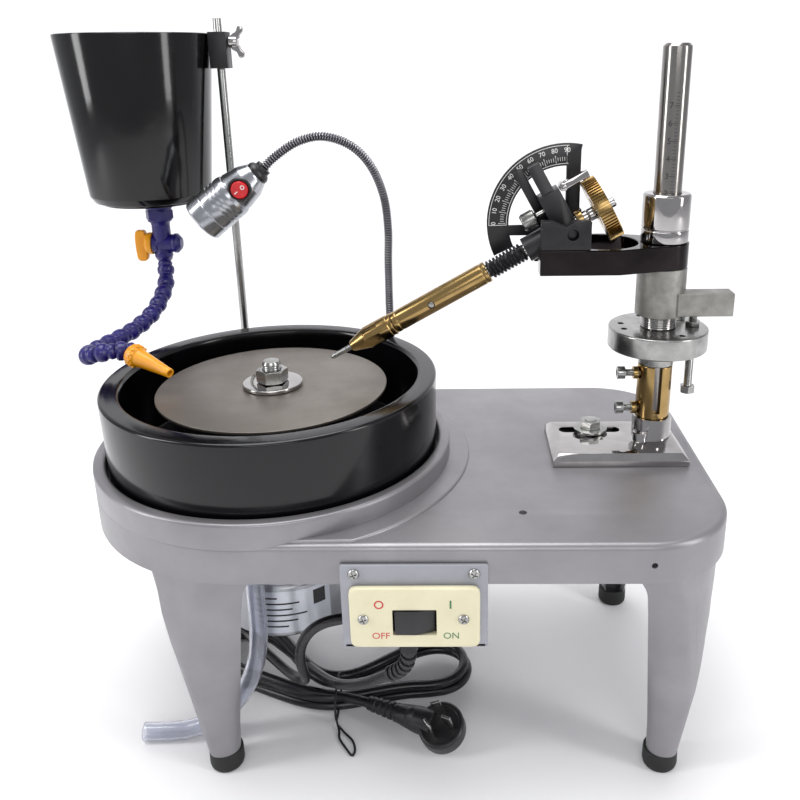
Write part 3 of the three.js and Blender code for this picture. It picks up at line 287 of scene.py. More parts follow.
# %% Bare metals
MAST = Matrix.Translation(at(253.6, 9.3, 0))
SPINDLE_AXIS = Matrix.Translation(at(0, 0, 0))
QUILL_ANGLE = math.radians(29.2)
QUILL_WAY = Vector((math.cos(QUILL_ANGLE), 0, math.sin(QUILL_ANGLE)))
PIVOT = at(192.5, 9.3, 336.5)
QUILL = turn_to(QUILL_WAY, PIVOT)
chrome = finish("polished_chrome_plate", "#b4b1b0", "#a5a2a1", 1.0, 0.07, 0.05, 18, 3, 0.006)
dark_chrome = finish("black_chrome_plate", "#2b2728", "#211e1f", 1.0, 0.08, 0.06, 22, 3, 0.008)
ground_steel = finish("ground_steel_bar", "#9a9692", "#8a8683", 1.0, 0.18, 0.08, 20, 0.3, 0.004,
    rings=(MAST, 0.35))
bright_steel = finish("bright_zinc_plated_steel", "#a9a9a7", "#959592", 1.0, 0.24, 0.1, 8, 0.8, 0.01)
cast_zinc = finish("sand_cast_zinc_alloy", "#9c9b96", "#82817c", 0.85, 0.46, 0.12, 8, 0.9, 0.2)
turned_brass = finish("turned_brass", "#a98e5e", "#967c4e", 1.0, 0.2, 0.08, 14, 0.3, 0.006,
    rings=(QUILL, 0.3))
column_brass = finish("polished_brass_sleeve", "#a98e5e", "#967c4e", 1.0, 0.2, 0.08, 14, 0.3, 0.006,
    rings=(MAST, 0.3))
lap_face = finish("diamond_charged_lap", "#868079", "#7a746d", 0.85, 0.42, 0.06, 26, 0.3, 0.008,
    rings=(SPINDLE_AXIS, 0.5))
lap_plate = finish("turned_aluminium_master_plate", "#a9abad", "#96989a", 1.0, 0.3, 0.08, 20, 0.3,
    0.006, rings=(SPINDLE_AXIS, 0.5))
spun_can = finish("drawn_aluminium_can", "#a8aaae", "#95979c", 0.9, 0.33, 0.08, 30, 0.3, 0.005,
    rings=(SPINDLE_AXIS, 0.6))
motor_paint = finish("dark_grey_die_casting", "#4c4b4e", "#3f3e41", 0.5, 0.48, 0.1, 15, 0.7, 0.06)
turned_aluminium = finish("machined_aluminium_lamp", "#b4b6ba", "#a0a2a7", 1.0, 0.24, 0.08, 16, 0.3,
    0.005,
                          stretch=(1, 1, 1))
spring_wire = finish("oiled_spring_wire", "#3a383a", "#262426", 0.9, 0.3, 0.1, 5, 0.4, 0.006)
goose_steel = finish("chromed_gooseneck_strip", "#8f8e92", "#7a797d", 1.0, 0.2, 0.08, 9, 0.6, 0.006)
print("finishes:", len(bpy.data.materials))
# %% [markdown]
# ## Making shapes
# Almost every piece here is turned, cut from plate, or bent from rod. Real edges are never quite sharp, so
# the two main makers first round every corner of the profile or outline: that is what catches the light.

# %% Outlines with rounded corners


def soften(points, radius, closed=True, steps=3):
    """The same outline with each corner replaced by a small arc."""
    made = []
    count = len(points)
    for i, here in enumerate(points):
        here = Vector(here)
        if not closed and i in (0, count - 1):
            made.append(here)
            continue
        before, after = Vector(points[i - 1]) - here, Vector(points[(i + 1) % count]) - here
        if before.length < 1e-6 or after.length < 1e-6:
            continue
        turn = math.pi - before.angle(after)
        if turn < 0.12:
            made.append(here)
            continue
        reach = min(radius * math.tan(turn / 2), before.length * 0.45, after.length * 0.45)
        start, end = here + before.normalized() * reach, here + after.normalized() * reach
        for k in range(steps + 1):
            t = k / steps
            made.append(start * (1 - t) ** 2 + here * 2 * t * (1 - t) + end * t * t)
    return [tuple(p) for p in made]


def evaluated_mesh(made):
    """What an object's curve or modifiers come to, as a new plain mesh."""
    return bpy.data.meshes.new_from_object(made.evaluated_get(bpy.context.evaluated_depsgraph_get()))


def circle(radius, x=0.0, y=0.0, sides=32):
    return [(x + radius * math.cos(math.tau * i / sides),
        y + radius * math.sin(math.tau * i / sides)) for i in range(sides)]


def mesh_object(name, verts, faces, material, sharp=35):
    """A mesh object at the origin, its faces turned outwards and smooth up to the sharp angle."""
    mesh = bpy.data.meshes.new(name)
    mesh.from_pydata([tuple(v) for v in verts], [], faces)
    return finished(linked(name, mesh), material, sharp)


def finished(made, material, sharp=35):
    shell = bmesh.new()
    shell.from_mesh(made.data)
    bmesh.ops.remove_doubles(shell, verts=shell.verts, dist=1e-6)
    bmesh.ops.dissolve_degenerate(shell, edges=shell.edges, dist=1e-7)
    bmesh.ops.recalc_face_normals(shell, faces=shell.faces)
    shell.to_mesh(made.data)
    shell.free()
    made.data.shade_smooth()
    made.data.set_sharp_from_angle(angle=math.radians(sharp))
    if material is not None:
        made.data.materials.clear()
        made.data.materials.append(material)
    return made


# %% [markdown]
# A turned piece is a profile of radius and height swung about an axis. A plate is an outline with holes,
# given thickness and a small bevel by a filled 2-D curve. A bent rod or cord is a round section carried
# along a smooth line.

# %% Turned, plate, box and rod


def turned(name, profile, material, matrix=None, soft=0.5, sides=72, sharp=35, closed=False):
    """profile is [radius, height] in millimetres; matrix carries the piece to its place, in metres."""
    points = soften(profile, soft, closed=closed)
    matrix = matrix or SPINDLE_AXIS
    verts, rows = [], []
    for radius, height in points:
        if radius < 1e-4:
            rows.append([len(verts)])
            verts.append(matrix @ (Vector((0, 0, height)) * MM))
            continue
        row = []
        for i in range(sides):
            turn = math.tau * i / sides
            row.append(len(verts))
            verts.append(matrix @ (Vector((radius * math.cos(turn), radius * math.sin(turn),
                height)) * MM))
        rows.append(row)
    faces = []
    pairs = list(zip(rows, rows[1:])) + ([(rows[-1], rows[0])] if closed else [])
    for low_row, high_row in pairs:
        for i in range(sides):
            j = (i + 1) % sides
            corners = [low_row[i % len(low_row)], low_row[j % len(low_row)],
                high_row[j % len(high_row)], high_row[i % len(high_row)]]
            corners = list(dict.fromkeys(corners))
            if len(corners) > 2:
                faces.append(corners)
    return mesh_object(name, verts, faces, material, sharp)


def plate(name, outline, z0, z1, material, matrix=None, holes=(), bevel=0.5, soft=0.0, sharp=35,
    steps=2):
    """A flat outline with holes, raised from z0 to z1 in millimetres, its edges bevelled."""
    data = bpy.data.curves.new(name, "CURVE")
    data.dimensions = "2D"
    data.fill_mode = "BOTH"
    data.extrude = (z1 - z0) / 2 - bevel
    data.bevel_depth = bevel
    data.bevel_resolution = steps
    data.offset = -bevel
    for points in [soften(outline, soft) if soft else outline, *holes]:
        spline = data.splines.new("POLY")
        spline.points.add(len(points) - 1)
        for point, (x, y) in zip(spline.points, points):
            point.co = (x, y, 0, 1)
        spline.use_cyclic_u = True
    flat = linked(name + "_curve", data)
    made = linked(name, evaluated_mesh(flat))
    bpy.data.objects.remove(flat)
    raise_it = Matrix.Translation((0, 0, (z0 + z1) / 2))
    made.data.transform((matrix or SPINDLE_AXIS) @ Matrix.Scale(MM, 4) @ raise_it)
    return finished(made, material, sharp)


def rectangle(x0, x1, y0, y1):
    return [(x0, y0), (x1, y0), (x1, y1), (x0, y1)]


def box(name, x0, x1, y0, y1, z0, z1, material, matrix=None, bevel=0.5, soft=0.8):
    return plate(name, rectangle(x0, x1, y0, y1), z0, z1, material, matrix, bevel=bevel, soft=soft)


def hexagon(across_flats, x=0.0, y=0.0):
    return circle(across_flats / math.sqrt(3), x, y, 6)


def smooth_line(points, steps=6, closed=False):
    """A Catmull-Rom line through the points, in the points' own units."""
    points = [Vector(p) for p in points]
    count = len(points)
    made = []
    for i in range(count if closed else count - 1):
        a, b, c, d = (points[(i + k) % count] if closed else points[min(max(i + k, 0),
            count - 1)] for k in (-1, 0, 1, 2))
        for k in range(steps):
            t = k / steps
            square, cube = 2 * a - 5 * b + 4 * c - d, 3 * b - a - 3 * c + d
            made.append(0.5 * (2 * b + (c - a) * t + square * t * t + cube * t**3))
    return made if closed else made + [points[-1]]


def path_curve(name, points, radius=0.0, resolution=6):
    """An open curve through points in metres, with a round section if radius is given, in metres."""
    data = bpy.data.curves.new(name, "CURVE")
    data.dimensions = "3D"
    data.bevel_depth = radius
    data.bevel_resolution = resolution
    data.use_fill_caps = True
    spline = data.splines.new("POLY")
    spline.points.add(len(points) - 1)
    for point, place in zip(spline.points, points):
        point.co = (*place, 1)
    return linked(name, data)


def rod(name, points, radius, material, steps=6, sides_level=4):
    """A round bar through places in metres; radius in millimetres."""
    line = path_curve(name + "_line", smooth_line(points, steps) if len(points) > 2 else points,
        radius * MM, sides_level)
    made = linked(name, evaluated_mesh(line))
    bpy.data.objects.remove(line)
    return finished(made, material)


# %% [markdown]
# Holes and slots are cut with an exact boolean, whose result is kept as a plain mesh. A finished piece is
# often several shapes in several finishes, so they are joined into one object that rides on one CAD body and
# stands for the CAD nodes it covers.

# %% Cutting and joining


def cut(made, *cutters, keep=False):
    for cutter in cutters:
        tool = made.modifiers.new("cut", "BOOLEAN")
        tool.operation = "DIFFERENCE"
        tool.solver = "EXACT"
        tool.object = cutter
    plain = evaluated_mesh(made)
    made.modifiers.clear()
    old = made.data
    made.data = plain
    bpy.data.meshes.remove(old)
    if not keep:
        for cutter in cutters:
            bpy.data.objects.remove(cutter)
    made.data.set_sharp_from_angle(angle=math.radians(35))
    return made


def piece(name, parts, body, replaces=()):
    """Joins parts into one named piece on a body and the CAD nodes it stands for."""
    parts = [p for p in parts if p is not None]
    first = parts[0]
    if len(parts) > 1:
        with bpy.context.temp_override(active_object=first, object=first, selected_objects=parts,
            selected_editable_objects=parts):
            bpy.ops.object.join()
    first.name = name
    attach(first, body)
    if replaces:
        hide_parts(*replaces)
    print(f"{name}: {len(first.data.polygons)} faces on {body}")
    return first


print("makers ready")
# %% [markdown]
# ## Repeating shapes
# Three small Geometry Nodes trees make everything that repeats. The first repeats a shape round an axis, for
# gear teeth, cooling ribs and the marks of a scale. The second strings a shape along a path, for the balls of
# the water hose and the turns of the gooseneck. The third sets a shape on chosen points, for screws. Each
# ends in Realize Instances and Set Material, and the result is kept as a plain mesh.

# %% Trees for repeating


def start_tree(name, inputs):
    tree = bpy.data.node_groups.new(name, "GeometryNodeTree")
    tree.interface.new_socket("Geometry", in_out="INPUT", socket_type="NodeSocketGeometry")
    tree.interface.new_socket("Geometry", in_out="OUTPUT", socket_type="NodeSocketGeometry")
    for label, kind in inputs.items():
        tree.interface.new_socket(label, in_out="INPUT", socket_type=kind)
    return tree, add(tree, "NodeGroupInput").outputs


def end_tree(tree, geometry, material):
    real = add(tree, "GeometryNodeRealizeInstances", {}, {"Geometry": geometry})
    dressed = add(tree, "GeometryNodeSetMaterial", {},
        {"Geometry": real.outputs[0], "Material": material})
    add(tree, "NodeGroupOutput", {}, {"Geometry": dressed.outputs[0]})
    return tree


def shape_of(tree, given):
    info = add(tree, "GeometryNodeObjectInfo", {"transform_space": "ORIGINAL"}, {"Object": given})
    return info.outputs["Geometry"]


def round_axis_tree():
    tree, given = start_tree("repeat_round_an_axis", {
        "Shape": "NodeSocketObject", "Count": "NodeSocketInt", "First Angle": "NodeSocketFloat",
        "Step Angle": "NodeSocketFloat", "Finish": "NodeSocketMaterial"})
    points = add(tree, "GeometryNodePoints", {}, {"Count": given["Count"]})
    number = add(tree, "GeometryNodeInputIndex")
    turn = add(tree, "ShaderNodeMath", {"operation": "MULTIPLY_ADD"},
               {0: number.outputs[0], 1: given["Step Angle"], 2: given["First Angle"]})
    spin = add(tree, "ShaderNodeCombineXYZ", {}, {"Z": turn.outputs[0]})
    copies = add(tree, "GeometryNodeInstanceOnPoints", {}, {
        "Points": points.outputs[0], "Instance": shape_of(tree, given["Shape"]),
        "Rotation": spin.outputs[0]})
    return end_tree(tree, copies.outputs[0], given["Finish"])


def along_path_tree():
    tree, given = start_tree("string_along_a_path", {
        "Shape": "NodeSocketObject", "Path": "NodeSocketObject", "Spacing": "NodeSocketFloat",
        "Twist": "NodeSocketFloat", "Finish": "NodeSocketMaterial"})
    path = shape_of(tree, given["Path"])
    even = add(tree, "GeometryNodeResampleCurve", {"mode": "LENGTH"},
        {"Curve": path, "Length": given["Spacing"]})
    points = add(tree, "GeometryNodeCurveToPoints", {"mode": "EVALUATED"}, {"Curve": even.outputs[0]})
    number = add(tree, "GeometryNodeInputIndex")
    turn = add(tree, "ShaderNodeMath", {"operation": "MULTIPLY"},
        {0: number.outputs[0], 1: given["Twist"]})
    spin = add(tree, "ShaderNodeCombineXYZ", {}, {"Z": turn.outputs[0]})
    face = add(tree, "FunctionNodeRotateRotation", {"rotation_space": "LOCAL"},
               {"Rotation": points.outputs["Rotation"], "Rotate By": spin.outputs[0]})
    copies = add(tree, "GeometryNodeInstanceOnPoints", {}, {
        "Points": points.outputs["Points"], "Instance": shape_of(tree, given["Shape"]),
        "Rotation": face.outputs[0]})
    return end_tree(tree, copies.outputs[0], given["Finish"])


def on_points_tree():
    tree, given = start_tree("set_on_points", {"Shape": "NodeSocketObject", "Turn": "NodeSocketFloat",
        "Finish": "NodeSocketMaterial"})
    number = add(tree, "GeometryNodeInputIndex")
    turn = add(tree, "ShaderNodeMath", {"operation": "MULTIPLY"},
        {0: number.outputs[0], 1: given["Turn"]})
    spin = add(tree, "ShaderNodeCombineXYZ", {}, {"Z": turn.outputs[0]})
    copies = add(tree, "GeometryNodeInstanceOnPoints", {}, {
        "Points": given["Geometry"], "Instance": shape_of(tree, given["Shape"]),
        "Rotation": spin.outputs[0]})
    return end_tree(tree, copies.outputs[0], given["Finish"])


ROUND_AXIS, ALONG_PATH, ON_POINTS = round_axis_tree(), along_path_tree(), on_points_tree()


def grown(name, tree, values, matrix=None, points=(), sharp=35):
    """Runs a tree with these named inputs and keeps the result as a plain mesh, carried by matrix."""
    host = bpy.data.meshes.new(name)
    host.from_pydata([tuple(p) for p in points], [], [])
    made = linked(name, host)
    tool = made.modifiers.new("grow", "NODES")
    tool.node_group = tree
    for item in tree.interface.items_tree:
        if item.item_type == "SOCKET" and item.in_out == "INPUT" and item.name in values:
            tool[item.identifier] = values[item.name]
    made.update_tag()
    plain = evaluated_mesh(made)
    made.modifiers.clear()
    made.data = plain
    bpy.data.meshes.remove(host)
    if matrix is not None:
        made.data.transform(matrix)
    made.data.shade_smooth()
    made.data.set_sharp_from_angle(angle=math.radians(sharp))
    for used in {v for v in values.values() if isinstance(v, bpy.types.Object)}:
        bpy.data.objects.remove(used)
    return made


AT_ORIGIN = Matrix.Identity(4)
print("trees:", [t.name for t in bpy.data.node_groups])
# %% [markdown]
# Some castings and cut plates already have their final shape in the CAD model and only lack soft edges. A
# copy of the node is merged, its flat triangles are joined back into faces, and a narrow bevel rounds every
# edge that is sharper than 28 degrees. Lettering and screws need two more makers: letters are a text curve
# made into a mesh, and a cross-head screw is a turned dome with a cross pressed into it.

# %% Eased copies, letters and screws
FACING = Matrix(((1, 0, 0, 0), (0, 0, -1, 0), (0, 1, 0, 0), (0, 0, 0, 1)))
FRONTAL = SPINDLE_AXIS @ FACING
HEAD = Matrix.Translation(PIVOT) @ Matrix.Rotation(-QUILL_ANGLE, 4, "Y")


def eased(node_name, width, material, segments=2, sharp=32):
    """A copy of a CAD node with its edges rounded; width in millimetres."""
    mesh = frame["nodes"][node_name].data.copy()
    shell = bmesh.new()
    shell.from_mesh(mesh)
    bmesh.ops.remove_doubles(shell, verts=shell.verts, dist=2e-6)
    bmesh.ops.dissolve_limit(shell, angle_limit=math.radians(0.6), verts=shell.verts, edges=shell.edges)
    shell.to_mesh(mesh)
    shell.free()
    made = linked(node_name + "_eased", mesh)
    tool = made.modifiers.new("ease", "BEVEL")
    tool.width = width * MM
    tool.segments = segments
    tool.limit_method = "ANGLE"
    tool.angle_limit = math.radians(28)
    tool.harden_normals = False
    plain = evaluated_mesh(made)
    made.modifiers.clear()
    made.data = plain
    plain.shade_smooth()
    plain.set_sharp_from_angle(angle=math.radians(sharp))
    plain.materials.clear()
    plain.materials.append(material)
    return made


def letters(words, height, matrix, material, depth=0.2):
    """Flat lettering in the matrix's XY plane, centred on its origin; sizes in millimetres."""
    data = bpy.data.curves.new("letters", "FONT")
    data.body = words
    data.size = height * 1.38
    data.align_x, data.align_y = "CENTER", "CENTER"
    data.extrude = depth
    data.resolution_u = 4
    text = linked("letters_curve", data)
    made = linked("letters", evaluated_mesh(text))
    bpy.data.objects.remove(text)
    made.data.transform(matrix @ Matrix.Scale(MM, 4))
    return finished(made, material)


def cross_screw(name, radius, height, material):
    """A pan-head screw about Z, standing on the origin."""
    head = turned(name, [(0, -0.6), (radius, -0.6), (radius, height * 0.35),
        (radius * 0.8, height * 0.85), (0, height)],
                  material, AT_ORIGIN, soft=0.35, sides=28)
    slots = [box("slot", -radius * 0.62, radius * 0.62, -radius * 0.12, radius * 0.12, height * 0.35,
        height + 1, material,
                 AT_ORIGIN @ Matrix.Rotation(turn, 4, "Z"), bevel=0.05, soft=0) for turn in (0.35,
                 0.35 + math.pi / 2)]
    return cut(head, *slots)


def screws_at(name, places, radius, height, material, matrix):
    """The same screw on each place, in the matrix's frame, by the point-setting tree."""
    shape = cross_screw(name + "_head", radius, height, material)
    return grown(name, ON_POINTS, {"Shape": shape, "Turn": 0.7, "Finish": material}, matrix,
                 [Vector(p) * MM for p in places])


def standing(x, y, turn=0.0):
    """The frame of an upright axis through a place."""
    return Matrix.Translation(at(x, y, 0)) @ Matrix.Rotation(turn, 4, "Z")


def lying(x, y, z, way):
    """The frame of an axis through a place, pointing a given way."""
    return turn_to(way, at(x, y, z))


print("easing, lettering and screws ready")
# %% [markdown]
# ## The mains lead, the motor's lead and the drain hose
# The mains lead is 6.8 mm PVC, about 1.3 m long. It leaves a gland under the switch box, droops to the floor
# and is folded into a hank of two and a half turns, tied at its waist, and ends in a flat three-pin plug. A
# second lead goes from the switch box down over the hank and up into the motor. Both are one smooth line
# each, with a round section; every turn of the hank lies one lead's thickness above the turn before.

# %% Leads on the floor
LEAD = 6.8


LOBE = [(-35, 35.5), (-47.5, 36.5), (-58.5, 30.5), (-64.5, 20), (-64.5, 7.5), (-58.5, -3), (-46.5, -12),
    (-31, -20)]
FRONT_RUN = [(-14, -28.5), (2, -36), (19, -42), (36, -43.5), (54, -40), (71, -35.5), (88, -32.5)]
FOLD = [(104, -31.5), (118, -27.5), (127, -16), (127.5, -1.5), (119, 9.5), (105, 13)]
BACK_RUN = [(89, 7.5), (73, -4), (56, -17.5), (39, -26), (22, -22.5), (8, -9), (-6, 9), (-20, 26)]


def hank_turn(z, lobe_shift, fold_shift):
    """One turn of the hank: its left lobe, the front run, the right fold and the back run."""
    moved = lambda points, shift: [(x + shift[0], y + shift[1]) for x, y in points]
    path = moved(LOBE, lobe_shift) + FRONT_RUN + moved(FOLD, fold_shift) + BACK_RUN
    return [(x, y, z + LEAD * i / len(path)) for i, (x, y) in enumerate(path)]


lead_start = [
    (92, -105, 107.8), (91.6, -104.8, 102.4), (90.3, -103.8, 97.7), (88.2, -102.3, 93.4),
    (85.5, -100.4, 89.5), (81, -97.3, 84.6),
    (72, -91, 75), (63, -84, 66.2), (54, -75, 56.9), (45.5, -64, 47.1), (37, -51, 37.4),
    (28, -38, 30.7), (17, -22, 24), (4, -4, 18),
    (-11, 14, 13.5), (-23, 28.5, 10.5),
]
lead_end = [
    (-32, 33, 22.9), (-46, 33, 22.9), (-57, 27, 22.9), (-62, 16, 22.9), (-60.5, 3, 22.9),
    (-53, -7.5, 22.9), (-41, -16, 22.9),
    (-25, -24, 22.9), (-8, -31.5, 22.5), (8, -37.5, 21.5), (24, -41, 19.9), (38, -42.6, 19),
    (50, -45.4, 18.8), (61, -49.6, 18.8),
]
lead_path = lead_start + hank_turn(9.1, (0, 0), (0, 0)) + hank_turn(15.9, (4, -5),
    (-2.5, -1)) + lead_end


def relaxed(line, passes):
    """Each point moves halfway to the middle of its neighbours: a stiff lead has no small kinks."""
    for _ in range(passes):
        line = line[:2] + [p / 2 + (a + b) / 4 for a, p,
            b in zip(line[1:], line[2:-2], line[3:])] + line[-2:]
    return line


def lead_curve(name, points, diameter, material):
    line = relaxed([at(*p) for p in smooth_line(points, 5)], 8)
    length = sum((b - a).length for a, b in zip(line, line[1:]))
    made = path_curve(name, line, diameter / 2 * MM, 4)
    made.data.materials.append(material)
    print(f"{name}: {length:.3f} m")
    return made, length


mains_lead, mains_length = lead_curve("mains_lead", lead_path, LEAD, cord_pvc)
motor_route = [
    (68, -89, 118), (59, -88.6, 118), (49, -87, 116), (36, -84, 110), (26, -80, 98.2),
    (20.5, -76, 82.9), (20, -70, 65.2),
    (20, -60, 48.5), (14, -47, 36.4), (3, -34, 31.1), (-12, -18, 30.5), (-27, -3, 31.5), (-41, 9, 37.4),
    (-53, 14, 49.4),
    (-60, 12, 65.2), (-62, 6, 82), (-59, 2, 95), (-52.3, 0.6, 100.6),
]
motor_cord, motor_length = lead_curve("motor_cord", motor_route, LEAD, cord_pvc)
drain_route = [
    (-8, -61, 152), (-8, -61, 130), (-8, -61, 108), (-8.4, -61, 87.6), (-11, -61.5, 67.1),
    (-18, -62.5, 47.6),
    (-29.5, -63.8, 31), (-44, -65.2, 19), (-60, -66.2, 13.1), (-75, -66.9, 11.8), (-90, -67.2, 11.7),
]


def drain_tube():
    """A clear tube with a real wall, so that its open end shows a bore."""
    line = [at(*p) for p in smooth_line(drain_route, 4)]
    sides, verts, rows = 28, [], []
    tangents = [(line[min(i + 1, len(line) - 1)] - line[max(i - 1,
        0)]).normalized() for i in range(len(line))]
    for radius, order in ((6.0, range(len(line))), (4.6, range(len(line) - 1, -1, -1))):
        for i in order:
            across = BACK - tangents[i] * BACK.dot(tangents[i])
            across.normalize()
            other = tangents[i].cross(across)
            rows.append([])
            for k in range(sides):
                turn = math.tau * k / sides
                rows[-1].append(len(verts))
                verts.append(line[i] + (across * math.cos(turn) + other * math.sin(turn)) * radius * MM)
    faces = [(a[k], a[(k + 1) % sides], b[(k + 1) % sides], b[k]) for a,
        b in zip(rows, rows[1:] + rows[:1]) for k in range(sides)]
    made = mesh_object("drain_tube", verts, faces, clear_pvc, 50)
    return made, line


drain, drain_line = drain_tube()

# %% [markdown]
# ## The plug and the tie
# A flat three-pin plug: the lead enters from the side through a ribbed strain relief, and three flat blades
# stand up from a round face. The tie is a short paper-covered wire round the hank's waist, its two ends
# twisted into a leaf-shaped loop that lies on the floor.

# %% Plug and tie
plug_pins = Vector((-0.19, -0.42, 0.89)).normalized()
plug_way = Vector((0.91, -0.41, 0))
plug_way = (plug_way - plug_pins * plug_way.dot(plug_pins)).normalized()
plug_side = plug_pins.cross(plug_way)
PLUG = Matrix.Translation(at(109, -74, 24.1)) @ Matrix((
    (plug_way.x, plug_side.x, plug_pins.x), (plug_way.y, plug_side.y, plug_pins.y),
    (plug_way.z, plug_side.z, plug_pins.z),
)).to_4x4()


def plug_shape():
    disc = turned("plug_disc", [(0, -12), (13, -12), (15.5, -10), (15.5, -1.4), (14.2, 0), (12.6, 0),
        (12.2, -0.5), (0, -0.5)],
                  satin_black, PLUG, soft=1.2)
    neck_way = PLUG @ turn_to((-1, 0, 0), Vector((0, 0, -6 * MM)))
    ribs = [(0, 6), (9.4, 6), (8.6, 18), (7.2, 27), (6.4, 31)]
    for i in range(5):
        start = 32 + i * 4.4
        ribs += [(6.2 - i * 0.28, start), (6.2 - i * 0.28, start + 2.4), (4.7, start + 2.7),
            (4.7, start + 4.1)]
    ribs += [(4.7, 55.6), (0, 55.6)]
    neck = turned("plug_neck", ribs, satin_black, neck_way, soft=0.5, sides=40)
    grip = turned("plug_grip", [(0, 18), (5.2, 19), (6.4, 22), (5.2, 25), (0, 26)], satin_black,
                  PLUG @ turn_to((-1, 0, 0), Vector((0, 0, -2.6 * MM))), soft=1, sides=32)
    blades = []
    for x, y, turn in ((-3, 6.8, math.pi / 6), (-3, -6.8, -math.pi / 6), (7.4, 0, 0)):
        spot = PLUG @ Matrix.Translation((x * MM, y * MM, 0)) @ Matrix.Rotation(turn, 4, "Z")
        blades.append(plate("blade", [(-3.1, -0.75), (3.1, -0.75), (3.1, 0.75), (-3.1, 0.75)], -1, 17,
            bright_steel, spot,
                            bevel=0.25, soft=0.3))
    return piece("plug", [disc, neck, grip, *blades], "stand", ["plug_body"])


plug = plug_shape()


def tie_shape():
    ring = [(37, -54.8, 13.5), (37, -53.5, 23), (37, -46, 27.1), (37, -36, 27.7), (37, -27.6, 25.9),
        (37, -26.2, 16.5),
            (37, -27.5, 7.9), (37, -40, 6.4), (37, -51.5, 7.1)]
    band = rod("tie_band", [at(*p) for p in smooth_line(ring, 5, closed=True)] + [at(*ring[0])], 0.8,
        rubber, steps=1)
    tail = [(37, -54, 10.5), (38.5, -57.6, 8.1), (40, -62, 6.8), (41, -68, 6.5), (46, -76, 6.5),
        (51, -82.5, 6.5), (52.5, -78, 6.5),
            (50, -70, 6.5), (44, -63.5, 6.9), (39, -58.5, 8.3)]
    loop = rod("tie_tail", [at(*p) for p in tail], 0.75, rubber, steps=5)
    return piece("hank_tie", [band, loop], "stand")


hank_tie = tie_shape()
for lead, nodes in ((mains_lead, ("power_cord", "cord_hank")), (motor_cord, ("motor_lead",))):
    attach(lead, "stand")
    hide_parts(*nodes)
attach(drain, "stand")
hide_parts("drain_hose")
# %% [markdown]
# ## The table and its legs
# The table is one aluminium casting: a round drum that carries the basin runs out into a flat plate with
# generous corners, all under a narrow rolled edge. Its outline is an arc and two rounded corners, so it is
# drawn once and used for the plate, its hollow underside and the legs. The legs are tapering angles that
# flare into the skirt: a ring at the foot that opens into an angle under the corner of the skirt.

# %% Table casting
TABLE_TOP, SKIRT_BOTTOM, HALF_DEPTH, TABLE_RIGHT, CORNER = 185.3, 161, 117, 282.7, 55
DRUM, DRUM_TOP, SEAT = 116.6, 198.7, 108.9


def table_outline(inset, fine=1):
    """The table's outline, taken in by inset."""
    radius, half, right, corner = DRUM - inset, HALF_DEPTH - inset, TABLE_RIGHT - inset, CORNER - inset
    meet = math.asin(half / (radius + 0.8))
    steps = 90 * fine
    points = [(radius * math.cos(a), radius * math.sin(a))
              for a in (meet + (math.tau - 2 * meet) * i / steps for i in range(steps + 1))]
    for y, start in ((-half + corner, -math.pi / 2), (half - corner, 0)):
        points += [(right - corner + corner * math.cos(start + math.pi / 2 * i / 20),
                    y + corner * math.sin(start + math.pi / 2 * i / 20)) for i in range(21)]
    return points


def table_casting():
    body = plate("table_casting", table_outline(0), SKIRT_BOTTOM - 4, TABLE_TOP, silver_paint, bevel=4,
        steps=4)
    below = box("below", -200, 400, -200, 200, 140, SKIRT_BOTTOM, silver_paint)
    # The hollow underside, the two holes and the rib take the darker silver: painted shade under the table and in
    # its holes.
    hollow = plate("hollow", table_outline(3), 150, TABLE_TOP - 6, painted_shade_silver, bevel=1, steps=1)
    bolt_hole = turned("bolt_hole", [(0, 150), (2.4, 150), (2.4, 200), (0, 200)], painted_shade_silver,
        standing(159.8, -81.1), sides=24)
    skirt_hole = turned("skirt_hole", [(0, -8), (1.8, -8), (1.8, 12), (0, 12)], painted_shade_silver,
        lying(229.7, -117, 172.5, BACK), sides=24)
    cut(body, below, hollow, bolt_hole, skirt_hole)
    ring = turned("drum_ring", [(SEAT, 184), (DRUM, 180), (DRUM, DRUM_TOP), (SEAT, DRUM_TOP)],
        silver_paint,
                  soft=2.2, sides=160, closed=True)
    reach = math.asin(113 / 129.6)
    step = [(0, -113), *[(129.6 * math.cos(a), 129.6 * math.sin(a))
                         for a in (-reach + 2 * reach * i / 60 for i in range(61))], (0, 113)]
    shoulder = plate("shoulder", step, TABLE_TOP - 3, TABLE_TOP + 1.6, silver_paint, bevel=1.5, steps=3)
    gusset = box("skirt_rib", 54, 236, -2.5, 2.5, 168, 180, painted_shade_silver)
    return piece("table", [body, ring, shoulder, gusset], "stand", ["table_casting"])


table_casting()

# %% [markdown]
# A leg is one bent sheet: round its foot it is an open ring, and under the skirt it is an angle whose walls
# follow the table's outline. Both ends are drawn as the same number of points and joined by straight lines,
# and in the last 26 mm the front and side walls sweep out in a web. Points that would pass the table's
# outline are pulled back to it.

# %% Legs and feet
LEG_PLACES = {"left": (-29.5, 1, 30.5, 30.5), "right": (250.3, -1, 23.6, 29.1)}
LEG_Y, REACH_OUT, REACH_IN, LEG_RING = 86, 27, 26, 9.1
LEG_LOW, LEG_HIGH = 7.4, 179


def inside_table(x, y):
    """Keeps a point inside the table's outline, where the legs meet the skirt."""
    if x > TABLE_RIGHT - CORNER and abs(y) > HALF_DEPTH - CORNER:
        centre, reach = Vector((TABLE_RIGHT - CORNER,
            math.copysign(HALF_DEPTH - CORNER, y))), CORNER - 3.3
    elif x < 9:
        centre, reach = Vector((0, 0)), DRUM - 3.3
    else:
        return x, y
    away = Vector((x, y)) - centre
    return tuple(centre + away * min(1, reach / max(away.length, 0.001)))


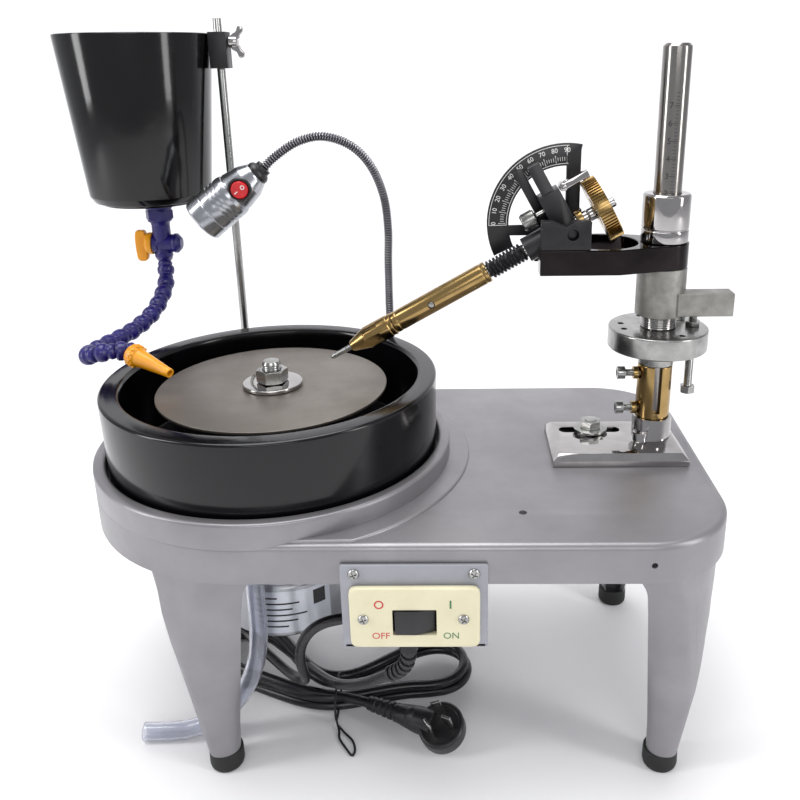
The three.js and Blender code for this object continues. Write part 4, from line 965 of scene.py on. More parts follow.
def leg_section(t, inner, outer, web, inset_low, inset_high, steps=36, corner_at=24):
    """The leg's outline at a share t of its height, from its inner end round the corner to its other end."""
    corner, made = 9.0, []
    for k in range(steps + 1):
        turn = math.radians(45 - 270 * k / steps)
        low = Vector((math.cos(turn), math.sin(turn))) * (LEG_RING - inset_low)
        if k < corner_at - 3:
            high = Vector((inner + web + (corner - outer - inner - web) * k / (corner_at - 3),
                inset_high - REACH_OUT))
        elif k <= corner_at + 3:
            bend = math.pi / 2 * (k - corner_at + 3) / 6
            radius = corner - inset_high
            high = Vector((corner - outer - radius * math.sin(bend),
                corner - REACH_OUT - radius * math.cos(bend)))
        else:
            share = (k - corner_at - 3) / (steps - corner_at - 3)
            high = Vector((inset_high - outer,
                corner - REACH_OUT + (REACH_IN + web + REACH_OUT - corner) * share))
        made.append(low.lerp(high, t))
    return made


def leg_shape(x, inward, inner, outer, side):
    verts, rows = [], []
    for z in [LEG_LOW + 3, 18, *range(30, 140, 10), *range(142, 179, 3), LEG_HIGH]:
        t = (z - LEG_LOW) / (LEG_HIGH - LEG_LOW)
        web = 40 * max(0, (z - 140) / 39) ** 2.4
        row = []
        for u, v in leg_section(t, inner, outer, web, 0, 0) + leg_section(t, inner, outer, web, 3,
            5)[::-1]:
            row.append(len(verts))
            verts.append(at(*inside_table(x + inward * u, side * (LEG_Y - v)), z))
        rows.append(row)
    count = len(rows[0])
    faces = [(a[i], a[(i + 1) % count], b[(i + 1) % count], b[i]) for a,
        b in zip(rows, rows[1:]) for i in range(count)]
    for row in (rows[0], rows[-1]):
        faces += [(row[i], row[i + 1], row[count - 2 - i],
            row[count - 1 - i]) for i in range(count // 2 - 1)]
    made = mesh_object("leg", verts, faces, silver_paint, 50)
    # The foot's stub takes the darker silver: painted shade inside the rubber cup.
    stub = turned("leg_stub", [(0, LEG_LOW), (LEG_RING, LEG_LOW), (LEG_RING, 12), (0, 12)],
        painted_shade_silver, standing(x, side * LEG_Y), sides=40)
    return [made, stub]


for front, side in (("front", -1), ("back", 1)):
    for hand_name, (x, inward, inner, outer) in LEG_PLACES.items():
        node = f"{front}_{hand_name}"
        piece(f"tapered_leg_{node}", leg_shape(x, inward, inner, outer, side), "stand",
            [f"leg_{node}"])
        cup = turned("cup", [(0, BENCH), (9.6, BENCH), (10.6, 7.0), (11, 9), (10.8, 17.4), (10.4, 18.5),
            (9.5, 18.5), (9.4, 8.5), (0, 7.2)],
                     rubber, standing(x, side * LEG_Y), soft=0.5, sides=48)
        piece(f"rubber_foot_{node}", [cup], "stand", [f"foot_{node}"])
piece("rod_socket", [eased("rod_bracket", 0.6, silver_paint)], "stand", ["rod_bracket"])
# %% [markdown]
# ## Basin, lap and motor
# All of these are turned, so each is a profile swung about the spindle: the deep black splash basin with its
# broad flat rim, the lap on its thicker aluminium plate, the washer and the motor under the table. The nut is
# a hexagon plate, and the stud's thread is a saw-tooth profile, which looks right without a true helix.

# %% Basin and lap
BASIN, RIM, FLOOR = 108.1, 242.9, 191.6
basin_body = turned("basin_body", [(19, 185.6), (BASIN - 1, 185.6), (BASIN, RIM - 1), (BASIN - 1.4,
    RIM), (96.6, RIM), (95.1, RIM - 2.2),
                                   (95.1, FLOOR), (24, FLOOR), (24, 219), (19, 219)], black_pvc,
                                   soft=1.6, sides=180, closed=True)
spout = turned("spout", [(2.8, 152.3), (4.2, 152.3), (4.2, 187), (2.8, 187)], black_pvc,
    standing(-8, -61), soft=0.3, sides=36, closed=True)
piece("black_basin", [basin_body, spout], "stand", ["splash_basin"])
lap = turned("lap", [(6.3, 233.1), (75, 233.1), (75, 234.9), (6.3, 234.9)], lap_face, soft=0.35,
    sides=180, closed=True)
piece("faceting_lap", [lap], "spindle", ["lap_disc"])
under = turned("under", [(6.3, 223.8), (66, 223.8), (66, 232.8), (6.3, 232.8)], lap_plate, soft=0.8,
    sides=160, closed=True)
piece("backing_plate", [under], "spindle", ["master_plate"])
washer = turned("washer", [(6.3, 235.2), (19.5, 235.2), (19.5, 237.6), (6.3, 237.6)], chrome, soft=0.6,
    sides=96, closed=True)
piece("lap_washer", [washer], "spindle", ["arbor_washer"])


def hex_nut(name, across, z0, z1, bore, material, matrix=None, turn=0.0):
    """A nut: the hexagon's corners are turned off by a cone at both ends."""
    points = [(x * math.cos(turn) - y * math.sin(turn), x * math.sin(turn) + y * math.cos(turn)) for x,
        y in hexagon(across)]
    made = plate(name, points, z0, z1, material, matrix, holes=[circle(bore)] if bore else (),
        bevel=0.25, steps=1)
    corner, flat, rise = across / math.sqrt(3), across / 2, (across / math.sqrt(3) - across / 2) * 0.58
    cone = turned("cone", [(0, z0 - 1), (flat * 0.97, z0 - 0.01), (corner + 0.2, z0 + rise),
        (corner + 0.2, z1 - rise),
                           (flat * 0.97, z1 + 0.01), (0, z1 + 1)], material, matrix, soft=0, sides=48)
    tool = made.modifiers.new("chamfer", "BOOLEAN")
    tool.operation, tool.solver, tool.object = "INTERSECT", "EXACT", cone
    plain = evaluated_mesh(made)
    made.modifiers.clear()
    made.data = plain
    bpy.data.objects.remove(cone)
    made.data.set_sharp_from_angle(angle=math.radians(28))
    return made


def threaded(name, radius, z0, z1, pitch, material, matrix=None, foot=None):
    """A threaded rod about Z, from z0 to z1, with a chamfered end; foot is a plain start height."""
    profile = [(0, foot if foot is not None else z0), (radius - 0.1, foot if foot is not None else z0)]
    z = z0
    while z < z1 - 1.4 * pitch:
        profile += [(radius - pitch * 0.42, z + pitch * 0.5), (radius, z + pitch * 0.92)]
        z += pitch
    profile += [(radius - pitch * 0.5, z1), (0, z1)]
    return turned(name, profile, material, matrix, soft=0.06, sides=40, sharp=50)


nut = hex_nut("nut", 18, 237.9, 246.4, 6.3, bright_steel, turn=0.3)
piece("lap_nut", [nut], "spindle", ["arbor_nut"])
stud = threaded("stud", 6, 238, 252, 1.5, bright_steel, foot=73)
rotor = turned("rotor", [(0, 76), (28, 76), (28, 165), (10, 165), (10, 220), (0, 220)], bright_steel,
    soft=1, sides=64)
piece("spindle_and_rotor", [stud, rotor], "spindle", ["spindle_shaft"])

# %% [markdown]
# The motor hangs under the drum: a dark die-cast housing with upright cooling ribs, set round the axis by the
# first tree, over a drawn aluminium can that carries a plain silver label with grey printed lines.

# %% Motor
bell = turned("bell", [(6.5, 179), (6.5, 171), (43, 171), (43, 117.3), (48, 117.3), (48, 124),
    (47, 125), (47, 172), (48, 173), (48, 179)],
              motor_paint, soft=0.6, sides=120, closed=True)
rib = box("rib", 46.4, 49.8, -1.1, 1.1, 126, 171, motor_paint, AT_ORIGIN, bevel=0.5, soft=0.5)
ribs = grown("ribs", ROUND_AXIS, {"Shape": rib, "Count": 36, "Step Angle": math.tau / 36,
    "Finish": motor_paint}, SPINDLE_AXIS)
piece("ribbed_motor_housing", [bell, ribs], "stand", ["motor_end_bell"])
can = turned("can", [(0, 67), (40, 67), (42, 68.5), (46, 72), (46, 108), (45.4, 109), (45.4, 110.5),
    (46, 111.5), (46, 117), (43, 117),
                     (43, 71), (0, 71)], spun_can, soft=1.2, sides=140)


def can_label(z0, z1, start, end, radius, material, steps=24):
    """A thin film wrapped on the can between two angles in degrees."""
    verts, faces = [], []
    for i in range(steps + 1):
        turn = math.radians(start + (end - start) * i / steps)
        for z in (z0, z1):
            for r in (radius - 0.3, radius):
                verts.append(at(r * math.cos(turn), r * math.sin(turn), z))
    for i in range(steps):
        a, b = 4 * i, 4 * i + 4
        faces += [(a + 1, b + 1, b + 3, a + 3), (a, a + 2, b + 2, b), (a, b, b + 1, a + 1),
            (a + 2, a + 3, b + 3, b + 2)]
    faces += [(0, 1, 3, 2), (4 * steps, 4 * steps + 2, 4 * steps + 3, 4 * steps + 1)]
    return mesh_object("label", verts, faces, material, 40)


films = [can_label(74, 106, -112, -42, 46.12, label_film)]
for row, (start, end) in enumerate([(-108, -88), (-108, -70), (-108, -76), (-108, -64), (-108, -72),
    (-108, -80)]):
    films.append(can_label(100.5 - row * 4.4, 101.7 - row * 4.4, start, end, 46.2, black_ink, 10))
films.append(can_label(92, 103, -58, -47, 46.2, black_ink, 6))
piece("motor_can_and_label", [can, *films], "stand", ["motor_can"])
# %% [markdown]
# ## The switch box
# A grey sheet bracket screwed under the skirt holds a cream moulded plate with a black V-shaped rocker. The
# plate's marks are plain ones: red for off on the left, green for on on the right, printed as thin raised
# ink. All four cross-head screws are one shape set on four points.

# %% Bracket, plate and screws
BRACKET_FACE, COVER_BACK, COVER_FACE = 119.3, 119.6, 123.6
key_hole = box("key_hole", 83.2, 110.8, 130.8, 150.8, 110, 130, sheet_grey, FRONTAL)
sheet = plate("sheet", rectangle(56, 138, 121.5, 175), 117.3, BRACKET_FACE, sheet_grey, FRONTAL,
    bevel=0.35, soft=1.2)
shelf = box("shelf", 56, 138, -119.3, -93.3, 121.5, 123.5, sheet_grey, bevel=0.35, soft=1.5)
cut(sheet, key_hole)
upper_screws = screws_at("bracket_screws", [(63.6, 169.4, BRACKET_FACE), (130.4, 169.4, BRACKET_FACE)],
    3.3, 1.7, bright_steel, FRONTAL)
piece("switch_bracket_sheet", [sheet, shelf, upper_screws], "stand", ["switch_bracket"])
face_plate = plate("face_plate", rectangle(60.7, 133.5, 124, 163), COVER_BACK, COVER_FACE, cream_urea,
    FRONTAL,
                   bevel=1.4, soft=4.5, steps=3)
pocket_cut = box("pocket_cut", 84.7, 109.3, 132.5, 149.1, 115, 130, cream_urea, FRONTAL, bevel=0.3,
    soft=0.6)
cut(face_plate, pocket_cut)
frame_wall = plate("frame_wall", rectangle(83.9, 110.1, 131.7, 149.9), 114.5, COVER_BACK + 0.4,
    satin_black, FRONTAL,
                   holes=[rectangle(84.9, 109.1, 132.7, 148.9)], bevel=0.2)
frame_back = box("frame_back", 84.2, 109.8, 132, 149.6, 113.8, 115.2, satin_black, FRONTAL)
plate_screws = screws_at("plate_screws", [(68.4, 143, COVER_FACE), (124.4, 143, COVER_FACE)], 3.1, 1.5,
    bright_steel, FRONTAL)


def on_face(x, z):
    return FRONTAL @ Matrix.Translation(Vector((x, z, COVER_FACE)) * MM)


marks = [
    letters("OFF", 4.2, on_face(78.0, 132), red_ink, 0.08),
    letters("ON", 4.2, on_face(117.4, 132), green_ink, 0.08),
    plate("off_ring", circle(2.7, 77.4, 152.6), COVER_FACE - 0.1, COVER_FACE + 0.1, red_ink, FRONTAL,
    holes=[circle(1.9, 77.4, 152.6)], bevel=0.03),
    box("on_bar", 116.6, 117.6, 150, 155.2, COVER_FACE - 0.1, COVER_FACE + 0.1, green_ink, FRONTAL,
    bevel=0.03, soft=0),
]
piece("cream_switch_plate", [face_plate, frame_wall, frame_back, plate_screws, *marks], "stand",
    ["switch_cover"])

# %% [markdown]
# The rocker is one prism with a shallow V on its front, so one half always stands out. The lead leaves by a
# strain relief about 41 mm long: a gland 13 mm deep, then 28 mm of even ribs round the lead's first bend.

# %% Rocker and strain relief
rocker_turn = Matrix.Translation(at(97, -COVER_FACE + 2.2, 140.8)) @ Matrix.Rotation(math.radians(8), 4,
    "Z")
wedge = plate("wedge", [(-11.3, 0.6), (-11.3, -1.4), (0, -3.6), (11.3, -1.4), (11.3, 0.6), (3, 4.6),
    (-3, 4.6)], -7.5, 7.5, satin_black,
              rocker_turn, bevel=0.45, soft=0.5)
piece("black_rocker_key", [wedge], "power_key", ["power_rocker"])
gland_head = turned("gland_head", [(0, 124), (4, 124), (4, 121.2), (6.4, 121.2), (6.4, 118.4), (5.6,
    117.4), (5.4, 108.3), (4.2, 108.2), (0, 108.2)],
                    matt_black, standing(92, -105), soft=0.4, sides=44)
relief_line = relaxed([at(*p) for p in smooth_line(lead_path[:9], 5)], 8)
relief_ring = turned("relief_ring", [(3.3, -1.5), (4.7, -1.3), (4.9, -0.6), (4.9, 0.6), (4.7, 1.3),
    (3.3, 1.5)], satin_black, AT_ORIGIN,
                     soft=0.2, sides=32)
relief_curve = path_curve("relief_path", relief_line[:26])
relief = grown("relief", ALONG_PATH, {"Shape": relief_ring, "Path": relief_curve, "Spacing": 4.2 * MM,
    "Twist": 0.0, "Finish": satin_black})
relief_core = rod("relief_core", relief_line[:26], 4.0, satin_black, steps=1, sides_level=3)
piece("lead_strain_relief", [gland_head, relief, relief_core], "stand", ["cord_gland"])
# %% [markdown]
# ## The mast
# A chrome base plate with broad mirror bevels slides under a bolt. From it rise a ground steel post, a
# slotted brass sleeve with two cap screws, a thick flange disc with hanging bolts, a rough cast clamp and the chrome
# sleeve of the carriage. The plates are eased copies of the CAD; what turns about the post is turned.

# %% Base plate and bolt
POST = standing(253.6, 9.3)
base_plate = eased("mast_base_plate", 0.45, chrome)
piece("chrome_base_plate", [base_plate], "mast", ["mast_base_plate"])
BOLT = standing(213.7, 16.5)
bolt_parts = [
    hex_nut("bolt_head", 13, 195.4, 200.9, 0, bright_steel, BOLT, 0.35),
    turned("bolt_washer", [(4.2, 193.6), (11.5, 193.6), (11.5, 195.4), (4.2, 195.4)], bright_steel,
    BOLT, soft=0.4, sides=64, closed=True),
    turned("bolt_boss", [(0, 200), (4.4, 200), (4.2, 201.5), (0, 201.7)], bright_steel, BOLT, soft=0.3,
    sides=40),
    threaded("bolt_thread", 4, 171.3, 193, 1.25, bright_steel, BOLT),
]
piece("slot_bolt_and_washer", bolt_parts, "stand", ["slot_bolt"])

# %% Post and its scale
post_body = turned("post_body", [(0, 187.9), (8.6, 187.9), (8.6, 443.6), (6.9, 445.4), (5.4, 445.4),
    (4.9, 444.2), (4.9, 438), (0, 438)],
                   ground_steel, POST, soft=0.4, sides=96)
SCALE_TURN = math.radians(-112)
tick = box("tick", 8.3, 8.66, -1.1, 1.1, -0.14, 0.14, black_ink, AT_ORIGIN, bevel=0.03, soft=0)
long_tick = box("long_tick", 8.2, 8.64, -1.9, 1.9, -0.18, 0.18, black_ink, AT_ORIGIN, bevel=0.03,
    soft=0)


def marks_up_the_post(name, shape, start, step, count, turn):
    """Marks on the post's side, by the point-setting tree."""
    side = POST @ Matrix.Rotation(turn, 4, "Z")
    return grown(name, ON_POINTS, {"Shape": shape, "Turn": 0.0, "Finish": black_ink}, side,
                 [Vector((0, 0, (start + step * i) * MM)) for i in range(count)])


marks = [marks_up_the_post("fine_ticks", tick, 353.0, 2.08, 32, SCALE_TURN + 0.42),
         marks_up_the_post("main_ticks", long_tick, 358.1, 10.4, 6, SCALE_TURN + 0.36)]
for i, number in enumerate("234567"):
    spot = POST @ Matrix.Rotation(SCALE_TURN, 4, "Z") @ Matrix.Translation(Vector((8.55, 0,
        358.1 + 10.4 * i)) * MM)
    marks.append(letters(number, 3.6, spot @ Matrix(((0, 0, 1, 0), (1, 0, 0, 0), (0, 1, 0, 0), (0, 0, 0,
        1))), black_ink, 0.16))
piece("post_with_scale", [post_body, *marks], "mast", ["mast_post"])

# %% Brass sleeve, cap screws and flange
brass_tube = turned("brass_tube", [(8.9, 208.4), (11.3, 208.4), (11.3, 244.9), (8.9, 244.9)],
    column_brass, POST, soft=0.5, sides=96, closed=True)
brass_slot = box("brass_slot", 251.1, 256.1, -10.7, 9.3, 212.4, 250, column_brass, bevel=0.1, soft=0)
cut(brass_tube, brass_slot)
screws = []
for z in (213.9, 238.9):
    way = lying(253.6, 7.3, z, -RIGHT)
    head = turned("cap_head", [(0, 20.4), (4.3, 20.4), (4.3, 25.2), (3.9, 25.5), (0, 25.5)],
        bright_steel, way, soft=0.25, sides=40)
    socket_cut = plate("socket_cut", hexagon(4), 22.6, 27, bright_steel, way, bevel=0.05)
    cut(head, socket_cut)
    screws += [head, threaded("cap_thread", 2.5, 10, 20.6, 0.8, bright_steel, way)]
    screws.append(turned("cap_collar", [(2.6, 11.6), (4.2, 11.6), (4.2, 15), (2.6, 15)], column_brass,
        way, soft=0.3, sides=36, closed=True))
piece("slotted_brass_sleeve", [brass_tube, *screws], "mast", ["brass_sleeve"])
flange = turned("flange", [(8.9, 245.2), (11.6, 245.2), (11.6, 256.2), (12.4, 256.9), (31.4, 256.9),
    (32, 257.6), (32, 270), (31.4, 270.7), (8.9, 270.7)],
                bright_steel, POST, soft=0.7, sides=140, closed=True)
holes = [turned("hole", [(0, 250), (2.1, 250), (2.1, 275), (0, 275)], bright_steel,
                POST @ Matrix.Rotation(turn, 4, "Z") @ Matrix.Translation(Vector((24, 0, 0)) * MM),
                sides=24)
         for turn in (math.pi * 0.92, math.pi * 1.08, -math.pi * 0.36, math.pi * 0.6)]
cut(flange, *holes)
hung = []
for turn, low in ((0, 229), (0.75, 248)):
    spot = POST @ Matrix.Rotation(turn, 4, "Z") @ Matrix.Translation(Vector((22.4, 0, 0)) * MM)
    hung += [hex_nut("hung_head", 8.8, low - 5, low, 0, bright_steel, spot, 0.4),
        hex_nut("top_nut", 8.8, 270.8, 274.2, 0, bright_steel, spot, 0.2),
             threaded("hung_thread", 2.8, low, 277.7, 0.9, bright_steel, spot)]
piece("flange_and_bolts", [flange, *hung], "mast", ["flange_disc"])

# %% Carriage sleeve, clamp and arm
collar = [(8.9, 271.2), (11.4, 271.2)]
for i in range(6):
    collar += [(10.9, 272.0 + 1.2 * i), (11.5, 272.6 + 1.2 * i)]
sleeve = turned("sleeve", [*collar, (11.2, 279.4), (11.2, 326.5), (14.8, 327.5), (14.8, 334.6),
    (14.3, 335), (14.3, 335.8), (14.8, 336.2), (14.8, 356.3),
                           (13.8, 357.5), (8.9, 357.5)], chrome, POST, soft=0.35, sides=120,
                           closed=True)
piece("carriage_sleeve_chrome", [sleeve], "carriage", ["carriage_sleeve"])
piece("cast_height_clamp", [eased("height_clamp", 1.1, cast_zinc, segments=3)], "clamp_lever",
    ["height_clamp"])
piece("black_chrome_arm", [eased("carriage_arm", 0.8, dark_chrome, segments=3, sharp=14)], "arm_fork",
    ["carriage_arm"])
# %% [markdown]
# ## The angle head
# Two cheeks on the arm carry the head's trunnion. Behind it stands the quadrant, black with white ink: an
# outline, a mark every two degrees and a number every ten, 0 level with the pivot and 90 straight above. A
# pointer bar on the head sweeps past it, a knurled knob sets the head, and a sprung pawl holds the gear.

# %% Cheeks and quadrant
for side in ("front", "back"):
    piece(f"black_{side}_cheek", [eased(f"{side}_cheek", 0.4, matt_black)], "arm_fork",
        [f"{side}_cheek"])
DIAL = FRONTAL @ Matrix.Translation(Vector((192.5, 336.5, 0)) * MM)
INK_LOW, INK_HIGH = -23.8, -23.6


def dial_arc(radius, width, start, end, steps=48):
    turns = [math.radians(start + (end - start) * i / steps) for i in range(steps + 1)]
    outer = [((radius + width) * math.cos(t), (radius + width) * math.sin(t)) for t in turns]
    inner = [(radius * math.cos(t), radius * math.sin(t)) for t in reversed(turns)]
    return plate("dial_arc", outer + inner, INK_LOW, INK_HIGH, white_ink, DIAL, bevel=0.04)


def dial_marks(name, step, count, inner, outer, width):
    """Radial marks from 90 degrees on, by the tree that repeats round an axis."""
    shape = box(name, inner, outer, -width, width, INK_LOW, INK_HIGH, white_ink, AT_ORIGIN, bevel=0.03,
        soft=0)
    return grown(name, ROUND_AXIS, {"Shape": shape, "Count": count, "First Angle": math.radians(90),
                                    "Step Angle": math.radians(step), "Finish": white_ink}, DIAL)


numbers = []
for i in range(10):
    turn = math.radians(90 + 10 * i)
    spot = Matrix.Translation(Vector((46.2 * math.cos(turn), 46.2 * math.sin(turn),
        INK_HIGH - 0.05)) * MM)
    numbers.append(letters(str(90 - 10 * i), 3.0, DIAL @ spot @ Matrix.Rotation(turn - math.pi / 2, 4,
        "Z"), white_ink, 0.08))
dial = [eased("quadrant", 0.3, satin_black), dial_arc(49.0, 0.35, 88.5, 181.5),
    dial_arc(37.7, 0.35, 88.5, 181.5),
        dial_marks("two_degree_marks", 2, 46, 39.6, 42.0, 0.14),
        dial_marks("ten_degree_marks", 10, 10, 38.6, 43.2, 0.2),
        dial_marks("dial_ends", 91.6, 2, 37.7, 49.3, 0.18), *numbers]
piece("quadrant_with_scale", dial, "arm_fork", ["quadrant"])

# %% Head block, pointer, knob and pawl
piece("black_head_block", [eased("index_head", 0.4, satin_black)], "angle_head",
    ["index_head"])
pointer = eased("pointer_bar", 0.4, satin_black)
piece("black_pointer_bar", [pointer], "angle_head", ["pointer_bar"])
KNOB = HEAD @ Matrix.Translation(Vector((0, 0, 16)) * MM) @ turn_to(RIGHT)
knob = turned("knob", [(0, -24), (4.6, -24), (5.2, -23.2), (5.2, -15.2), (4.6, -14.4), (2.6, -14.4),
    (2, -13.6), (2, -5), (0, -5)],
              bright_steel, KNOB, soft=0.3, sides=48)
ridge = box("ridge", 5.1, 5.55, -0.16, 0.16, -22.8, -15.6, bright_steel, AT_ORIGIN, bevel=0.06, soft=0)
knurl = grown("knurl", ROUND_AXIS, {"Shape": ridge, "Count": 40, "First Angle": 0.0,
    "Step Angle": math.tau / 40,
                                    "Finish": bright_steel}, KNOB)
piece("knurled_adjust_knob", [knob, knurl], "angle_head", ["adjust_knob"])
pawl_screw = screws_at("pawl_screws", [(12, 0, 26.2), (9.6, -4.9, 24.5)], 1.9, 0.9, bright_steel, HEAD)
piece("chrome_index_pawl", [eased("index_pawl", 0.35, chrome), pawl_screw], "pawl",
    ["index_pawl"])

# %% [markdown]
# ## The quill
# Everything here is turned about the quill's axis: a steel shaft with a slotted end, a brass tube with a
# small cross hole, an open black coil spring, a brass chuck with flats, the dop, and the brass index gear with 64
# fine teeth.

# %% Shaft, tube, spring, chuck, dop and gear
HOLE = HEAD @ Matrix.Translation(Vector((-99.5, 0, 0)) * MM) @ turn_to(-BACK)
shaft = turned("shaft", [(0, -142), (4.2, -142), (4.2, 14), (3.6, 14.6), (4.2, 15.2), (4.2, 19.1),
    (3.1, 19.2), (3.1, 32.4), (2.5, 33), (0, 33)],
               chrome, QUILL, soft=0.3, sides=56)
end_slot = box("end_slot", -4, 4, -0.5, 0.5, 31.4, 34, chrome, QUILL, bevel=0.05, soft=0)
cut(shaft, end_slot)
collar = turned("collar", [(4.2, 7), (6.6, 7), (6.6, 11.4), (4.2, 11.4)], turned_brass, QUILL, soft=0.4,
    sides=48, closed=True)
piece("steel_quill_shaft", [shaft, collar], "quill", ["quill_shaft"])
tube = turned("tube", [(4.6, -127.6), (6.6, -127.6), (7, -127), (7, -124.4), (6.7, -124), (6.7, -123.4),
    (7, -123), (7, -61.4), (6.7, -61),
                       (6.7, -60.4), (7, -60), (7, -58.2), (6.6, -57.6), (4.6, -57.6)], turned_brass,
                       QUILL, soft=0.2, sides=72, closed=True)
cross_hole = turned("cross_hole", [(0, 4), (2.4, 4), (2.4, 9), (0, 9)], turned_brass,
                    HOLE, sides=28)
cut(tube, cross_hole)
hole_pin = turned("hole_pin", [(0, 4), (2.1, 4), (2.1, 6.3), (0, 6.5)], bright_steel,
                  HOLE, sides=28)
piece("brass_quill_tube", [tube, hole_pin], "quill", ["quill_tube"])
coils, wire, first, last = 10, 0.9, -56.4, -31.4
helix = [QUILL @ (Vector((5.4 * math.cos(math.tau * i / 24), 5.4 * math.sin(math.tau * i / 24),
    first + (last - first) * i / (24 * coils))) * MM)
         for i in range(24 * coils + 1)]
coil = rod("coil", helix, wire, spring_wire, steps=1, sides_level=2)
spring_bar = turned("spring_bar", [(4.3, -57.2), (4.5, -57.2), (4.5, -30.6), (4.3, -30.6)], matt_black,
    QUILL, soft=0.1, sides=40, closed=True)
piece("black_quill_spring", [coil, spring_bar], "quill", ["quill_spring"])
chuck = turned("chuck", [(2, -160.6), (3.3, -160.6), (3.7, -160), (6.9, -149.4), (7.5, -148.2),
    (7.5, -131.4), (7.1, -131), (7.1, -130), (7.5, -129.6),
                         (7.5, -128.4), (7.1, -128), (2, -128)], turned_brass, QUILL, soft=0.2,
                         sides=72, closed=True)
flats = [box("flat", 6.6, 9, -6, 6, -156, -138, turned_brass,
    QUILL @ Matrix.Rotation(math.tau * k / 4 + 0.4, 4, "Z"), bevel=0.05, soft=0) for k in range(4)]
cut(chuck, *flats)
piece("brass_chuck", [chuck], "quill", ["quill_chuck"])
dop = turned("dop_rod", [(0, -176.5), (1.1, -176.5), (1.75, -174.8), (1.75, -148), (0, -148)],
    bright_steel, QUILL, soft=0.2, sides=36)
piece("steel_dop", [dop], "quill", ["dop"])
TEETH = 64
gear_edge = []
for i in range(TEETH):
    for share, radius in ((-0.22, 19.7), (-0.1, 20.7), (0.1, 20.7), (0.22, 19.7)):
        turn = math.tau * (i + share) / TEETH
        gear_edge.append((radius * math.cos(turn), radius * math.sin(turn)))
wheel = plate("wheel", gear_edge, 19.5, 28.4, turned_brass, QUILL, holes=[circle(3.3)], bevel=0.15)
face_rings = [turned("face_ring", [(5.6, z0), (9.2, z0), (9.2, z1), (5.6, z1)], turned_brass, QUILL,
    soft=0.3, sides=56, closed=True)
              for z0, z1 in ((19.2, 19.8), (28.1, 28.4))]
piece("brass_index_gear", [wheel, *face_rings], "quill", ["index_gear"])
# %% [markdown]
# ## Water: rod, bucket, valve and hose
# A tapering tub of thick glossy black plastic hangs on a steel rod by a square clamp and a wing screw. Under
# it a blue valve with a yellow key feeds a ball-jointed hose: each segment is a ball that sits in the flared
# skirt of the one before, so one turned segment is strung along the hose's path by the second tree.

# %% Rod and bucket
ROD = standing(-49, 128.4)
TUB = standing(-110.8, 128)
rod_body = turned("rod_body", [(0, 168.3), (3, 168.3), (3, 468), (0, 468)], bright_steel, ROD, soft=0.5,
    sides=40)
piece("bucket_rod_steel", [rod_body], "stand", ["bucket_rod"])
tub = turned("tub", [(0, 338), (36, 338), (41.5, 339.2), (44.6, 344), (55.3, 458), (52.7, 458),
    (42.2, 346), (38, 342), (0, 341.5)],
             black_moulded, TUB, soft=1.2, sides=180)
foot_ring = turned("foot_ring", [(33, 338.6), (34, 336.9), (36, 336.9), (37, 338.6)], black_moulded,
    TUB, soft=0.4, sides=120, closed=True)
piece("drip_tub", [tub, foot_ring], "drip_bucket", ["bucket"])
clamp_block = eased("bucket_clamp", 0.7, matt_black)
piece("tub_clamp", [clamp_block], "drip_bucket", ["bucket_clamp"])


def wing_screw_shape():
    """A stamped wing screw: a turned hub with two flared ears."""
    way = lying(-49, 128.4, 451.6, RIGHT)
    stem = turned("stem", [(0, 3.3), (1.9, 3.3), (1.9, 7.4), (4.2, 7.4), (3.9, 13.4), (3.2, 14.0),
        (0, 14.0)], chrome, way, soft=0.4, sides=32)
    ears = []
    for sign in (1, -1):
        outline = [(2.2, 1.5), (5, 2.2), (7.2, 5.5), (10.8, 7.2), (10.4, 10.4), (7.4, 10.9), (4.4, 8.4),
            (2.2, 7.6)]
        frame_of = Matrix.Translation(at(-49 + 7.2, 128.4, 451.6)) @ Matrix(((0, 1, 0, 0),
            (0, 0, sign, 0), (sign, 0, 0, 0), (0, 0, 0, 1)))
        ears.append(plate("ear", smooth_outline(outline), -1.2, 1.2, chrome, frame_of, bevel=0.6))
    return [stem, *ears]


def smooth_outline(points, steps=4):
    return [tuple(p)[:2] for p in smooth_line([(x, y, 0) for x, y in points], steps, closed=True)]


piece("wing_screw_stamped", wing_screw_shape(), "wing_bolt", ["wing_screw"])

# %% Valve, segmented hose and nozzle
VALVE = standing(-107.3, 128)
collar = turned("collar", [(0, 291.6), (5.6, 291.6), (6.9, 294), (6.9, 297), (6.2, 298), (6.9, 311),
    (6.9, 319), (7.6, 321), (9.2, 322),
                           (9.2, 331), (10.8, 332.2), (10.8, 337.6), (0, 337.6)], nylon_blue, VALVE,
                           soft=0.5, sides=64)
barrel = turned("barrel", [(0, -7), (7.5, -7), (7.5, -3), (7.0, -2.4), (7.0, 9), (7.6, 10), (7.6, 12),
    (4.4, 15), (0, 15)], nylon_blue,
                lying(-107.3, 128, 304, RIGHT), soft=0.5, sides=56)
flats = hex_nut("flats", 18.4, 323, 330.5, 0, nylon_blue, VALVE)
piece("blue_valve", [collar, barrel, flats], "drip_bucket", ["valve_body"])


def valve_key():
    """A yellow wing key on the valve's left end."""
    hub = turned("hub", [(0, 7.3), (8.6, 7.3), (8.6, 10.6), (7.8, 12), (5.2, 13), (0, 13)],
        acetal_yellow,
                 lying(-107.3, 128, 304, -RIGHT), soft=0.6, sides=56)
    outline = [(-3.4, 9.6), (0, 10.6), (3.4, 9.6), (4.6, 3), (4.4, -8), (3.4, -12.6), (0, -13.9),
        (-3.4, -12.6), (-4.4, -8), (-4.6, 3)]
    frame_of = Matrix.Translation(at(-107.3 - 16.4, 128, 304)) @ FACING
    ear = plate("key", smooth_outline(outline), -3, 3, acetal_yellow, frame_of, bevel=1.3, steps=3)
    return [hub, ear]


